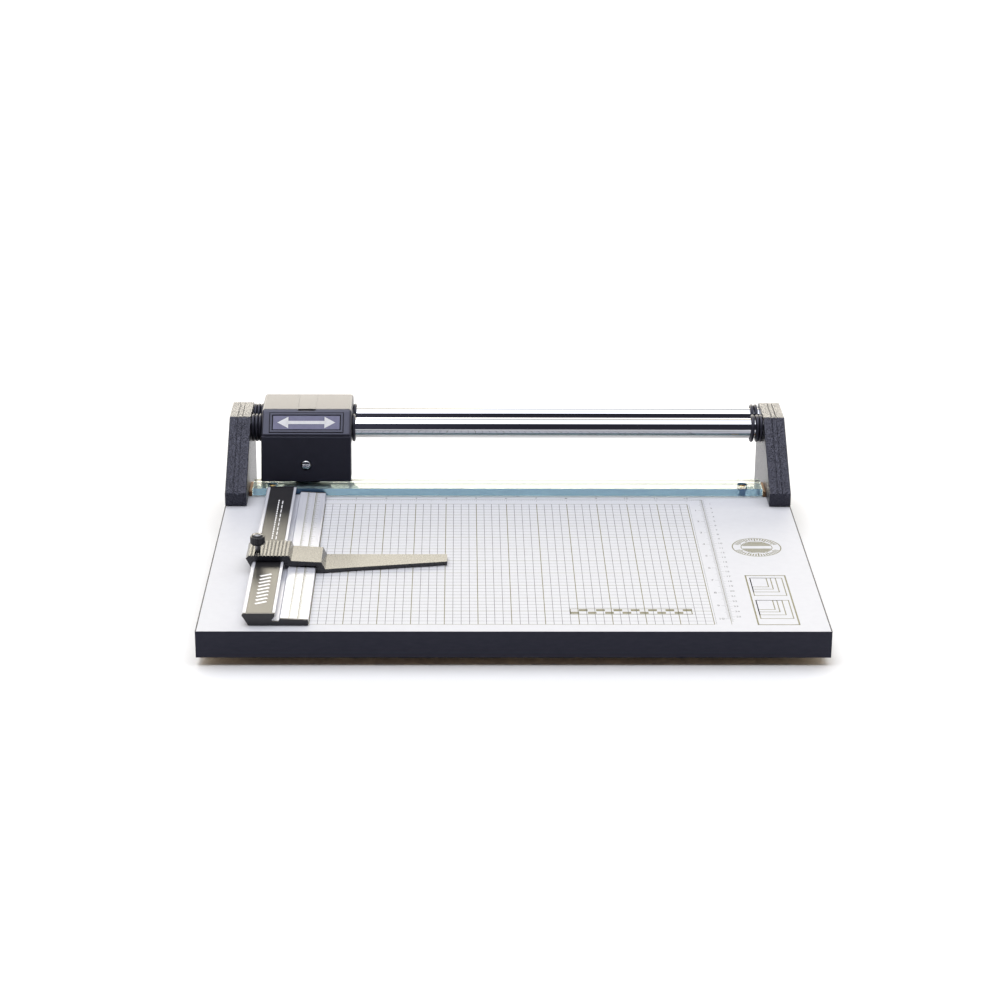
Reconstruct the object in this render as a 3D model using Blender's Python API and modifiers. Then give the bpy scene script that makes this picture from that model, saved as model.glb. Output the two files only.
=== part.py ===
"""Rotary paper trimmer.

A laminated baseboard carries two cast end frames. Two chromed rails join the frames, and a cutting
head slides along them. Its round blade rolls behind a counter knife on the board's back edge. A clear
strip clamps the paper, and a paper stop slides along the ruler on the left.

Metres, +Z up, +X to the right, +Y to the back. The origin lies under the middle, on the table.
"""

import math

import bmesh
import bpy
from mathutils import Euler, Matrix, Vector

# Clearances
GAP = 0.0003
SLIDE_FIT = 0.00015
HOLE_FIT = 0.0003

# Sides of a round shape: what turns or slides, screw heads and seats, and plain holes
FINE = 24
MEDIUM = 16
COARSE = 12

# Baseboard
BOARD_WIDTH = 0.4758
BOARD_DEPTH = 0.3102
BOARD_THICKNESS = 0.0214
LAMINATE = 0.0008
EDGE_BAND = 0.0010
FOOT_HEIGHT = 0.0070
FOOT_RADIUS = 0.0100
FOOT_INSET = 0.0320

# Rails, and what slides on them
RAIL_DIAMETER = 0.0172
RAIL_SPACING = 0.0280
RAIL_OVER_BLADE = 0.0001
RAIL_SETBACK = 0.0218
RAIL_SEAT = 0.0060
RING_SECTION = 0.0028
RING_PLAY = 0.00045
BUSH_WALL = 0.0014

# End frames
FRAME_WIDTH = 0.0182
FRAME_REACH = 0.0490
FRAME_TOE = 0.0115
FRAME_WALL_TOP = 0.0031
FRAME_WALL_BACK = 0.0026
FRAME_CORNER = 0.0064
FRAME_RELIEF = 0.0013
GROOVE_WIDTH = 0.0010
GROOVE_DEPTH = 0.0008
GROOVE_SHARES = (0.39, 0.60)
FRAME_SHOULDER = 0.0032
FRAME_EDGE = 0.0007

# Cap screws, as (head radius, head height, shank radius, socket radius), and how they are let in
RAIL_SCREW = (0.0050, 0.0058, 0.0030, 0.0026)
RAIL_SCREW_LENGTH = 0.0200
RAIL_SCREW_SINK = 0.0064
RAIL_DRILLING = 0.0150
FRAME_BOLT = (0.0048, 0.0040, 0.0025, 0.0024)
FRAME_BOLT_SINK = 0.0050
FRAME_BOLT_ENTRY = 0.0085
FRAME_BOLT_INSETS = (0.0140, 0.0130)
HEAD_PLAY = 0.0006

# Cutting edge
KNIFE_THICKNESS = 0.0030
KNIFE_HEIGHT = 0.0190
BLADE_RADIUS = 0.0235
BLADE_THICKNESS = 0.0010
BLADE_DIP = 0.0015
HUB_BORE = 0.0063
AXLE_DIAMETER = 0.0060
AXLE_HEAD = 0.0080

# Clamp strip
STRIP_DEPTH = 0.0251
STRIP_THICKNESS = 0.0064
STRIP_LIFT = 0.0010
STRIP_SETBACK = 0.0006
STRIP_END = 0.0027
STRIP_SCREW_INSET = 0.0377
STRIP_SCREW_FORWARD = 0.0012
STRIP_SCREW_SEAT = 0.0030
STRIP_SCREW_HEAD = (0.0040, 0.0020)
STRIP_SHOULDER = 0.0050
STRIP_PILOT = 0.0018
STRIP_PILOT_DEPTH = 0.0105
SPRING_WIRE = 0.0008
SPRING_PLAY = 0.0005
SPRING_POCKET = 0.0055
GUIDE_HEIGHT = 0.0045
GUIDE_MARGIN = 0.0006

# Cutting head
HEAD_WIDTH = 0.0766
HEAD_OVER_RAILS = 0.0181
HEAD_WALL = 0.0024
HEAD_CORNER = 0.0060
HEAD_LIFT = 0.0006
GUARD_REACH = 0.0120
GUARD_LEAN = 0.0114
COVER_REACH = 0.0106
COVER_LEG = 0.0092
COVER_SPLIT = 0.0002
GUARD_SETBACK = 0.0006
GUARD_RETURN = 0.0080
LUG_SETBACK = 0.0067
LUG_DEPTH = 0.0062
LUG_WIDTH = 0.0180
BODY_WALL = 0.0025
BODY_WALL_BACK = 0.0008
BODY_WALL_UNDER = 0.0015
BODY_CEILING = 0.0020
PASSAGE_PLAY = 0.0009

# Ruler and paper stop
RULER_INSET_SIDE = 0.0340
RULER_INSET_FRONT = 0.0102
RULER_HIGH = 0.0099
RULER_HIGH_WIDTH = 0.0240
RULER_LOW = 0.0056
RULER_LOW_WIDTH = 0.0211
RULER_FALL = 0.0010
RULER_LEAN = 0.0010
RULER_UNDERCUT = 0.0048
RULER_CHANNEL = 0.0037
RULER_TO_STRIP = 0.0013
RULER_CHAMFER = 0.0015
INSERT_WIDTH = 0.0194
INSERT_THICKNESS = 0.0005
CAP_THICKNESS = 0.0020
GAUGE_DEPTH = 0.0323
GAUGE_TOP = 0.0150
GAUGE_REST = 0.1134
ARM_LENGTH = 0.0958
ARM_THICKNESS = 0.0030
ARM_TIP_DEPTH = 0.0155
ARM_ROOT = 0.0072
GAUGE_PLAY = 0.0004
GAUGE_HOOK = 0.0054
GAUGE_HOOK_WALL = 0.0023
RIB_PITCH = 0.0029
RIB_DEPTH = 0.0008
KNOB_RADIUS = 0.0058
KNOB_HEIGHT = 0.0090
KNOB_RISE = 0.0020
KNOB_LIFT = 0.0209
KNOB_INSET = (0.0042, 0.0098)
KNOB_SEAT = 0.0016
STEM_DIAMETER = 0.0042

# Places that follow from the sizes
HALF = BOARD_WIDTH / 2
BOARD_TOP = FOOT_HEIGHT + BOARD_THICKNESS
REAR_RAIL_SETBACK = RAIL_SETBACK + RAIL_SPACING
RAIL_RADIUS = RAIL_DIAMETER / 2
RAIL_HEIGHT = 2 * BLADE_RADIUS - BLADE_DIP + RAIL_OVER_BLADE
HEAD_TOP = RAIL_HEIGHT + HEAD_OVER_RAILS
BUSH_RADIUS = RAIL_RADIUS + SLIDE_FIT + BUSH_WALL
FRAME_SETBACK = REAR_RAIL_SETBACK + RAIL_RADIUS + FRAME_WALL_BACK
HEAD_SETBACK = REAR_RAIL_SETBACK + BUSH_RADIUS + BODY_WALL_BACK + GAP + HEAD_WALL
FRONT = -(BOARD_DEPTH + max(FRAME_SETBACK, HEAD_SETBACK)) / 2
BACK = FRONT + BOARD_DEPTH
RAIL_YS = {"front": BACK + RAIL_SETBACK, "rear": BACK + REAR_RAIL_SETBACK}
RAIL_Z = BOARD_TOP + RAIL_HEIGHT
SHOULDER_Y = RAIL_YS["front"] - RAIL_RADIUS + FRAME_SHOULDER
FRAME_INNER = HALF - FRAME_WIDTH
FRAME_TOP = RAIL_HEIGHT + RAIL_RADIUS + FRAME_WALL_TOP
KNIFE_BACK = BACK + GAP + KNIFE_THICKNESS
BLADE_FRONT = KNIFE_BACK + GAP
BLADE_BACK = BLADE_FRONT + BLADE_THICKNESS
AXLE_Z = BOARD_TOP + BLADE_RADIUS - BLADE_DIP
RING_RADIUS = RAIL_RADIUS + RING_PLAY + RING_SECTION / 2
RINGS_LEFT = 3
RING_STACK = RINGS_LEFT * (RING_SECTION + GAP) + GAP
HEAD_LEFT = -FRAME_INNER + RING_STACK
HEAD_X = HEAD_LEFT + HEAD_WIDTH / 2
BODY_FRONT = RAIL_YS["front"] - BUSH_RADIUS - BODY_WALL
BODY_BACK = RAIL_YS["rear"] + BUSH_RADIUS + BODY_WALL_BACK
BODY_BOTTOM = RAIL_Z - BUSH_RADIUS - BODY_WALL_UNDER
COVER_FRONT = BODY_FRONT - COVER_REACH
COVER_BOTTOM = AXLE_Z + BLADE_RADIUS + COVER_SPLIT
COVER_BACK = BODY_BACK + GAP + HEAD_WALL
GUARD_BOTTOM = BOARD_TOP + STRIP_LIFT + STRIP_THICKNESS + HEAD_LIFT
LUG_FRONT = BLADE_BACK + LUG_SETBACK
STRIP_BACK = BACK - STRIP_SETBACK
STRIP_FRONT = STRIP_BACK - STRIP_DEPTH
RULER_LEFT = -HALF + RULER_INSET_SIDE
RULER_FRONT = FRONT + RULER_INSET_FRONT
RULER_BACK = STRIP_FRONT - RULER_TO_STRIP
HIGH_RIGHT = RULER_LEFT + RULER_HIGH_WIDTH + RULER_LEAN
LOW_LEFT = HIGH_RIGHT + RULER_CHANNEL
LOW_RIGHT = LOW_LEFT + RULER_LOW_WIDTH
GAUGE_FRONT = FRONT + GAUGE_REST
GAUGE_BACK = GAUGE_FRONT + GAUGE_DEPTH

# A turned shape and a round hole stand along local Z. These turn local Z to the named direction.
TURNS = {
    "+x": (0, math.pi / 2, 0),
    "-x": (0, -math.pi / 2, 0),
    "+y": (-math.pi / 2, 0, 0),
    "-y": (math.pi / 2, 0, 0),
    "+z": (0, 0, 0),
    "-z": (math.pi, 0, 0),
}
# A flat outline is drawn in local X and Y. These lay it across the named axis.
OUTLINE_TURNS = {"x": (math.pi / 2, 0, math.pi / 2), "y": (math.pi / 2, 0, 0), "z": (0, 0, 0)}


def new_collection(name, hidden):
    collection = bpy.data.collections.new(name)
    collection.hide_render = hidden
    bpy.context.scene.collection.children.link(collection)
    return collection


def finish(name, colour, roughness, metallic=0.0, alpha=1.0):
    material = bpy.data.materials.new(name)
    material.use_nodes = True
    shader = material.node_tree.nodes["Principled BSDF"]
    shader.inputs["Base Color"].default_value = (*colour, 1.0)
    shader.inputs["Roughness"].default_value = roughness
    shader.inputs["Metallic"].default_value = metallic
    shader.inputs["Alpha"].default_value = alpha
    return material


for leftover in list(bpy.data.objects):
    bpy.data.objects.remove(leftover, do_unlink=True)
PARTS = new_collection("rotary_paper_trimmer", hidden=False)
CUTTERS = new_collection("cutters", hidden=True)

CHIPBOARD = finish("chipboard", (0.42, 0.32, 0.20), 0.85)
WHITE_LAMINATE = finish("white_laminate", (0.86, 0.87, 0.90), 0.35)
BLACK_EDGING = finish("black_edging", (0.03, 0.03, 0.04), 0.55)
BLACK_PAINT = finish("black_paint", (0.05, 0.05, 0.06), 0.45, 0.2)
CHROME = finish("chrome", (0.85, 0.86, 0.88), 0.06, 1.0)
STEEL = finish("steel", (0.62, 0.62, 0.63), 0.28, 1.0)
ALUMINIUM = finish("aluminium", (0.82, 0.83, 0.84), 0.35, 1.0)
CAST = finish("cast_aluminium", (0.55, 0.56, 0.57), 0.55, 1.0)
BRASS = finish("brass", (0.78, 0.52, 0.28), 0.30, 1.0)
BRONZE = finish("bronze", (0.35, 0.22, 0.14), 0.40, 1.0)
RUBBER = finish("rubber", (0.03, 0.03, 0.035), 0.60)
ACRYLIC = finish("clear_acrylic", (0.80, 0.92, 0.95), 0.05, 0.0, 0.35)
BLACK_PLASTIC = finish("black_plastic", (0.03, 0.03, 0.035), 0.40)


def put(name, mesh, matrix, material=None):
    """A part when it has a material, and a cutter when it has none."""
    obj = bpy.data.objects.new(name, mesh)
    obj.matrix_world = matrix
    if material is None:
        CUTTERS.objects.link(obj)
        obj.hide_render = True
        obj.display_type = "WIRE"
    else:
        PARTS.objects.link(obj)
        if not mesh.materials:
            mesh.materials.append(material)
    return obj


def placed(location, turn=(0, 0, 0)):
    return Matrix.Translation(Vector(location)) @ Euler(turn).to_matrix().to_4x4()


def box(name, low, high, material=None):
    size = [b - a for a, b in zip(low, high)]
    middle = [(a + b) / 2 for a, b in zip(low, high)]
    shape = bmesh.new()
    bmesh.ops.create_cube(shape, size=1.0)
    bmesh.ops.scale(shape, vec=size, verts=shape.verts)
    mesh = bpy.data.meshes.new(name)
    shape.to_mesh(mesh)
    shape.free()
    return put(name, mesh, placed(middle), material)


def rod(name, radius, start, length, direction, material=None, steps=COARSE):
    """A cylinder that runs from start along the named direction."""
    shape = bmesh.new()
    bmesh.ops.create_cone(
        shape, cap_ends=True, segments=steps, radius1=radius, radius2=radius, depth=length
    )
    bmesh.ops.translate(shape, vec=(0, 0, length / 2), verts=shape.verts)
    mesh = bpy.data.meshes.new(name)
    shape.to_mesh(mesh)
    shape.free()
    return put(name, mesh, placed(start, TURNS[direction]), material)


def turned(name, profile, start, direction, material=None, closed=False, steps=FINE):
    """A profile of (radius, height) points, top to bottom on its outer side, turned about local Z."""
    shape = bmesh.new()
    verts = [shape.verts.new((radius, 0, height)) for radius, height in profile]
    for first, second in zip(verts, verts[1:] + verts[:1] if closed else verts[1:]):
        shape.edges.new((first, second))
    mesh = bpy.data.meshes.new(name)
    shape.to_mesh(mesh)
    shape.free()
    obj = put(name, mesh, placed(start, TURNS[direction]), material)
    screw = obj.modifiers.new("turn", "SCREW")
    screw.axis = "Z"
    screw.steps = steps
    screw.render_steps = steps
    screw.use_merge_vertices = True
    screw.merge_threshold = 0.00001
    return obj


def outline(name, points, low, high, across, material=None):
    """A flat outline across the named axis, as thick as low to high along it."""
    curve = bpy.data.curves.new(name, "CURVE")
    curve.dimensions = "2D"
    curve.fill_mode = "BOTH"
    curve.extrude = (high - low) / 2
    spline = curve.splines.new("POLY")
    spline.points.add(len(points) - 1)
    for point, (first, second) in zip(spline.points, points):
        point.co = (first, second, 0, 1)
    spline.use_cyclic_u = True
    middle = {"x": (1, 0, 0), "y": (0, 1, 0), "z": (0, 0, 1)}[across]
    drawn = bpy.data.objects.new(name + "_outline", curve)
    bpy.context.scene.collection.objects.link(drawn)
    graph = bpy.context.evaluated_depsgraph_get()
    mesh = bpy.data.meshes.new_from_object(drawn.evaluated_get(graph))
    bpy.data.objects.remove(drawn, do_unlink=True)
    shape = bmesh.new()
    shape.from_mesh(mesh)
    bmesh.ops.remove_doubles(shape, verts=shape.verts, dist=0.000001)
    bmesh.ops.recalc_face_normals(shape, faces=shape.faces)
    shape.to_mesh(mesh)
    shape.free()
    place = Vector(middle) * (low + high) / 2
    return put(name, mesh, placed(place, OUTLINE_TURNS[across]), material)


def arc(centre, radius, start, end, steps):
    """Points on an arc, with its angles in degrees."""
    angles = [math.radians(start + (end - start) * i / steps) for i in range(steps + 1)]
    return [(centre[0] + radius * math.cos(a), centre[1] + radius * math.sin(a)) for a in angles]


def combine(obj, others, operation="DIFFERENCE"):
    for other in others:
        boolean = obj.modifiers.new(other.name, "BOOLEAN")
        boolean.operation = operation
        boolean.object = other
    return obj


def soften(obj, width, segments=1):
    edge = obj.modifiers.new("edges", "BEVEL")
    edge.width = width
    edge.segments = segments
    edge.limit_method = "ANGLE"
    edge.angle_limit = math.radians(35)
    return obj


def coil(name, radius, wire, low, high, turns, start, direction, material):
    """A spring about local Z whose ends lie inside low and high."""
    per_turn = 9
    count = per_turn * turns + 1
    curve = bpy.data.curves.new(name, "CURVE")
    curve.dimensions = "3D"
    curve.bevel_depth = wire / 2
    curve.bevel_resolution = 1
    curve.use_fill_caps = True
    spline = curve.splines.new("POLY")
    spline.points.add(count - 1)
    rise = high - low - wire
    for i, point in enumerate(spline.points):
        angle = 2 * math.pi * i / per_turn
        height = low + wire / 2 + rise * i / (count - 1)
        point.co = (radius * math.cos(angle), radius * math.sin(angle), height, 1)
    curve.materials.append(material)
    obj = bpy.data.objects.new(name, curve)
    obj.matrix_world = placed(start, TURNS[direction])
    PARTS.objects.link(obj)
    return obj


def cap_screw(name, place, direction, screw, length, material):
    """A cylinder-head screw with a hex socket: its seat is at place, and its head points along direction."""
    head, head_height, shank, socket = screw
    profile = [
        (0, head_height),
        (head, head_height),
        (head, 0),
        (shank, 0),
        (shank, -length),
        (0, -length),
    ]
    obj = turned(name, profile, place, direction, material, steps=MEDIUM)
    depth = head_height * 0.55
    inside = Vector(place) + placed((0, 0, 0), TURNS[direction]) @ Vector((0, 0, head_height - depth))
    return combine(obj, [rod(name + "_socket", socket, inside, depth * 2, direction, steps=6)])


def slotted_screw(name, place, direction, profile, slot, top, material):
    """A turned screw with a driver slot of slot = (length, width, depth) across its top."""
    obj = turned(name, profile, place, direction, material, steps=MEDIUM)
    length, width, depth = slot
    cutter = box(name + "_slot", (-length, -width / 2, top - depth), (length, width / 2, top + 2 * depth))
    cutter.matrix_world = obj.matrix_world @ cutter.matrix_world
    return combine(obj, [cutter])


def countersunk(head, slope, shank, length):
    return [(0, 0), (head, 0), (shank, -slope), (shank, -length), (0, -length)]


def make_base():
    """Chipboard core, printed laminate, edging strip and rubber feet."""
    core_top = BOARD_TOP - LAMINATE - GAP
    inner = EDGE_BAND + GAP
    core = box(
        "baseboard", (-HALF + inner, FRONT + inner, FOOT_HEIGHT), (HALF - inner, BACK, core_top), CHIPBOARD
    )
    laminate = box(
        "board_top", (-HALF, FRONT, BOARD_TOP - LAMINATE), (HALF, BACK, BOARD_TOP), WHITE_LAMINATE
    )
    band = [
        (-HALF, BACK),
        (-HALF, FRONT),
        (HALF, FRONT),
        (HALF, BACK),
        (HALF - EDGE_BAND, BACK),
        (HALF - EDGE_BAND, FRONT + EDGE_BAND),
        (-HALF + EDGE_BAND, FRONT + EDGE_BAND),
        (-HALF + EDGE_BAND, BACK),
    ]
    outline("edge_band", band, FOOT_HEIGHT, core_top, "z", BLACK_EDGING)
    foot = [
        (0, FOOT_HEIGHT - GAP),
        (FOOT_RADIUS, FOOT_HEIGHT - GAP),
        (FOOT_RADIUS * 0.9, FOOT_HEIGHT * 0.1),
        (FOOT_RADIUS * 0.82, 0),
        (0, 0),
    ]
    for side, x in (("left", -HALF + FOOT_INSET), ("right", HALF - FOOT_INSET)):
        for end, y in (("front", FRONT + FOOT_INSET), ("rear", BACK - FOOT_INSET)):
            turned(f"foot_{end}_{side}", foot, (x, y, 0), "+z", RUBBER)
    return core, laminate


def bore_through(pieces, name, radius, x, y, low, high):
    """One round cut through each of the pieces, from low to high."""
    drill = rod(name, radius, (x, y, low), high - low, "+z")
    for piece in pieces:
        combine(piece, [drill])


def frame_outline():
    """Side view of an end frame: its toe stands on the board, and its leg goes down behind the board."""
    top = BOARD_TOP + FRAME_TOP
    back = BACK + FRAME_SETBACK
    return [
        (BACK - FRAME_REACH, BOARD_TOP + GAP),
        (BACK - FRAME_REACH, BOARD_TOP + FRAME_TOE),
        (SHOULDER_Y, top),
        *arc((back - FRAME_CORNER, top - FRAME_CORNER), FRAME_CORNER, 90, 0, 4),
        (back, FOOT_HEIGHT),
        (BACK + GAP, FOOT_HEIGHT),
        (BACK + GAP, BOARD_TOP - FRAME_RELIEF),
        (BACK + FRAME_RELIEF, BOARD_TOP + FRAME_RELIEF),
        (BACK - FRAME_RELIEF, BOARD_TOP + GAP),
    ]


def frame_groove(name, x):
    """A cutter along the slope and the top of a frame, GROOVE_DEPTH into them."""
    shoulder = Vector((SHOULDER_Y, BOARD_TOP + FRAME_TOP))
    toe = Vector((BACK - FRAME_REACH, BOARD_TOP + FRAME_TOE))
    along = (shoulder - toe).normalized()
    down = Vector((along.y, -along.x)) * GROOVE_DEPTH
    past = 0.004
    bend = Vector((shoulder.x + down.x * 0.5, shoulder.y - GROOVE_DEPTH))
    back = BACK + FRAME_SETBACK + past
    points = [
        toe - along * past + down,
        bend,
        (back, bend.y),
        (back, shoulder.y + past),
        (shoulder.x, shoulder.y + past),
        toe - along * past - down * 4,
    ]
    return outline(name, points, x - GROOVE_WIDTH / 2, x + GROOVE_WIDTH / 2, "x")


def make_frames(core, laminate):
    """Two cast frames: each holds both rails in blind seats and is bolted down through the board."""
    seat = RAIL_RADIUS + HOLE_FIT
    screw_head, _, screw_shank, _ = RAIL_SCREW
    bolt_head, _, bolt_shank, _ = FRAME_BOLT
    bolt_hole = bolt_shank + HOLE_FIT
    bolt_ys = (BACK - FRAME_REACH + FRAME_BOLT_INSETS[0], BACK - FRAME_BOLT_INSETS[1])
    bolt_length = BOARD_THICKNESS - FRAME_BOLT_SINK + FRAME_BOLT_ENTRY
    past = 0.01
    for side, sign in (("left", -1), ("right", 1)):
        outward = "+x" if sign > 0 else "-x"
        inward = "-x" if sign > 0 else "+x"
        outer = sign * HALF
        low, high = sorted((outer, sign * FRAME_INNER))
        frame = outline(f"{side}_end_frame", frame_outline(), low, high, "x", BLACK_PAINT)
        soften(frame, FRAME_EDGE)
        cuts = [
            frame_groove(f"{side}_groove_{i}", low + FRAME_WIDTH * share)
            for i, share in enumerate(GROOVE_SHARES)
        ]
        for end, y in RAIL_YS.items():
            name = f"{side}_{end}"
            inner_face = (sign * (FRAME_INNER - RAIL_SEAT), y, RAIL_Z)
            cuts.append(rod(name + "_seat", seat, inner_face, 2 * RAIL_SEAT, outward, steps=FINE))
            middle = (sign * FRAME_INNER, y, RAIL_Z)
            cuts.append(rod(name + "_clearance", screw_shank + HOLE_FIT, middle, 2 * FRAME_WIDTH, outward))
            outside = (outer + sign * past, y, RAIL_Z)
            recess_depth = past + RAIL_SCREW_SINK
            cuts.append(rod(name + "_recess", screw_head + HEAD_PLAY, outside, recess_depth, inward))
            head_seat = (outer - sign * (RAIL_SCREW_SINK - GAP), y, RAIL_Z)
            cap_screw(f"rail_screw_{side}_{end}", head_seat, outward, RAIL_SCREW, RAIL_SCREW_LENGTH, STEEL)
        x = sign * (HALF - FRAME_WIDTH / 2)
        for end, y in zip(("front", "rear"), bolt_ys):
            name = f"frame_bolt_{side}_{end}"
            thread_depth = past + FRAME_BOLT_ENTRY + 2 * GAP
            cuts.append(rod(name + "_thread", bolt_hole, (x, y, BOARD_TOP - past), thread_depth, "+z"))
            bore_through((core, laminate), name + "_hole", bolt_hole, x, y, 0, BOARD_TOP + past)
            recess_top = FOOT_HEIGHT + FRAME_BOLT_SINK
            bore_through((core,), name + "_recess", bolt_head + HEAD_PLAY, x, y, 0, recess_top)
            cap_screw(name, (x, y, recess_top - GAP), "-z", FRAME_BOLT, bolt_length, STEEL)
        combine(frame, cuts)


def make_rails():
    """Chromed steel bars, drilled at both ends for the rail screws."""
    half = FRAME_INNER + RAIL_SEAT - GAP
    hole, depth, edge = RAIL_SCREW[2] + HOLE_FIT, RAIL_DRILLING, 0.0008
    profile = [
        (0, half - depth),
        (hole, half - depth),
        (hole, half),
        (RAIL_RADIUS - edge, half),
        (RAIL_RADIUS, half - edge),
        (RAIL_RADIUS, edge - half),
        (RAIL_RADIUS - edge, -half),
        (hole, -half),
        (hole, depth - half),
        (0, depth - half),
    ]
    for end, y in RAIL_YS.items():
        turned(f"{end}_rail", profile, (0, y, RAIL_Z), "+x", CHROME)


def ring_mesh():
    bpy.ops.mesh.primitive_torus_add(
        major_segments=MEDIUM, minor_segments=6, major_radius=RING_RADIUS, minor_radius=RING_SECTION / 2
    )
    obj = bpy.context.object
    mesh = obj.data
    bpy.data.objects.remove(obj, do_unlink=True)
    mesh.materials.append(RUBBER)
    return mesh


def make_rings():
    """Rubber buffer rings on the rails. The outermost front one at the right leans a little."""
    mesh = ring_mesh()
    pitch = RING_SECTION + GAP
    first = -FRAME_INNER + GAP + RING_SECTION / 2
    tight = FRAME_INNER - GAP - RING_SECTION / 2
    loose = 0.0014
    right = {"front": (0, pitch, 2.35 * pitch), "rear": (loose, loose + 1.1 * pitch)}
    for end, y in RAIL_YS.items():
        for i in range(RINGS_LEFT):
            put(f"ring_left_{end}_{i + 1}", mesh, placed((first + i * pitch, y, RAIL_Z), TURNS["+x"]), RUBBER)
        for i, offset in enumerate(right[end]):
            lean = math.radians(3) if i == 2 else 0
            turn = (0, math.pi / 2 + lean, 0)
            put(f"ring_right_{end}_{i + 1}", mesh, placed((tight - offset, y, RAIL_Z), turn), RUBBER)
        wiper = HEAD_LEFT + HEAD_WIDTH + GAP + RING_SECTION / 2
        put(f"head_ring_{end}", mesh, placed((wiper, y, RAIL_Z), TURNS["+x"]), RUBBER)


def make_counter_knife(core):
    """A ground steel bar screwed to the board's back edge, its top level with the laminate."""
    half = FRAME_INNER - GAP
    z = BOARD_TOP - KNIFE_HEIGHT * 0.6
    knife = box(
        "counter_knife",
        (-half, BACK + GAP, BOARD_TOP - KNIFE_HEIGHT),
        (half, KNIFE_BACK, BOARD_TOP),
        STEEL,
    )
    head, slope, shank, length = 0.0040, 0.0020, 0.0018, 0.0180
    for side, sign in (("left", -1), ("right", 1)):
        x = sign * half * 0.8
        sink = countersunk(head + GAP, slope, shank + GAP, length + 0.001)
        sink[0:1] = [(0, 0.002), (head + GAP, 0.002)]
        place = (x, KNIFE_BACK - GAP, z)
        cutter = turned(f"knife_sink_{side}", sink, place, "+y", steps=MEDIUM)
        combine(knife, [cutter])
        combine(core, [cutter])
        name = f"knife_screw_{side}"
        slot = (head * 1.2, 0.0009, 0.0009)
        slotted_screw(name, place, "+y", countersunk(head, slope, shank, length - GAP), slot, 0, STEEL)


def make_clamp_strip(core, laminate):
    """A clear strip that two sprung shoulder screws hold just above the board."""
    half = FRAME_INNER - STRIP_END - GAP
    bottom = BOARD_TOP + STRIP_LIFT
    top = bottom + STRIP_THICKNESS
    strip = box("clamp_strip", (-half, STRIP_FRONT, bottom), (half, STRIP_BACK, top), ACRYLIC)
    y = (STRIP_FRONT + STRIP_BACK) / 2 - STRIP_SCREW_FORWARD
    radius = STRIP_SHOULDER / 2
    head, head_height = STRIP_SCREW_HEAD
    chamfer = 0.0004
    seat = bottom + STRIP_SCREW_SEAT
    pocket_floor = BOARD_TOP - SPRING_POCKET
    pocket = radius + SPRING_WIRE + 2 * SPRING_PLAY
    pilot_floor = pocket_floor - STRIP_PILOT_DEPTH
    cuts = []
    for side, sign in (("left", -1), ("right", 1)):
        x = sign * (HALF - STRIP_SCREW_INSET)
        name = f"strip_screw_{side}"
        cuts.append(rod(name + "_hole", radius + HOLE_FIT, (x, y, bottom - 0.01), 0.03, "+z"))
        cuts.append(rod(name + "_sink", head + HOLE_FIT, (x, y, seat - GAP), 0.02, "+z", steps=MEDIUM))
        bore_through((core, laminate), name + "_pocket", pocket, x, y, pocket_floor, BOARD_TOP + 0.01)
        bore_through((core,), name + "_pilot", STRIP_PILOT + GAP, x, y, pilot_floor - GAP, BOARD_TOP)
        profile = [
            (0, head_height),
            (head - chamfer, head_height),
            (head, head_height - chamfer),
            (head, 0),
            (radius, 0),
            (radius, pocket_floor + GAP - seat),
            (STRIP_PILOT, pocket_floor + GAP - seat),
            (STRIP_PILOT, pilot_floor - seat),
            (0, pilot_floor - seat),
        ]
        slot = (head * 1.2, 0.0011, 0.0010)
        slotted_screw(name, (x, y, seat), "+z", profile, slot, head_height, BRASS)
        turn_radius = radius + SPRING_PLAY + SPRING_WIRE / 2
        low, high = pocket_floor + GAP, bottom - GAP
        coil(
            f"strip_spring_{side}", turn_radius, SPRING_WIRE, low, high, 3, (x, y, 0), "+z", STEEL
        )
        inner, outer = sorted((sign * (half + GAP), sign * (FRAME_INNER - GAP)))
        box(
            f"strip_guide_{side}",
            (inner, STRIP_FRONT + GUIDE_MARGIN, BOARD_TOP + GAP),
            (outer, STRIP_BACK - GUIDE_MARGIN, BOARD_TOP + GUIDE_HEIGHT),
            BRONZE,
        )
    combine(strip, cuts)


def ruler_section():
    """Front view of the ruler: a high rib that the paper stop rides on, a channel, and a low scale."""
    left = RULER_LEFT
    z = BOARD_TOP
    channel = z + 0.0034
    waist = 0.0026
    edge = 0.0004
    scale_right = z + RULER_LOW - RULER_FALL
    return [
        (left + RULER_UNDERCUT, z + GAP),
        (left, z + RULER_HIGH - RULER_CHAMFER),
        (left + RULER_LEAN, z + RULER_HIGH),
        (HIGH_RIGHT, z + RULER_HIGH),
        (HIGH_RIGHT - 0.0003, z + RULER_HIGH * 0.75),
        (HIGH_RIGHT - waist, channel + 3 * edge),
        (HIGH_RIGHT - waist + edge, channel),
        (LOW_LEFT - 0.0010, channel),
        (LOW_LEFT, z + RULER_LOW),
        (LOW_RIGHT - edge, scale_right),
        (LOW_RIGHT, scale_right - edge),
        (LOW_RIGHT, z + GAP),
    ]


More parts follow.
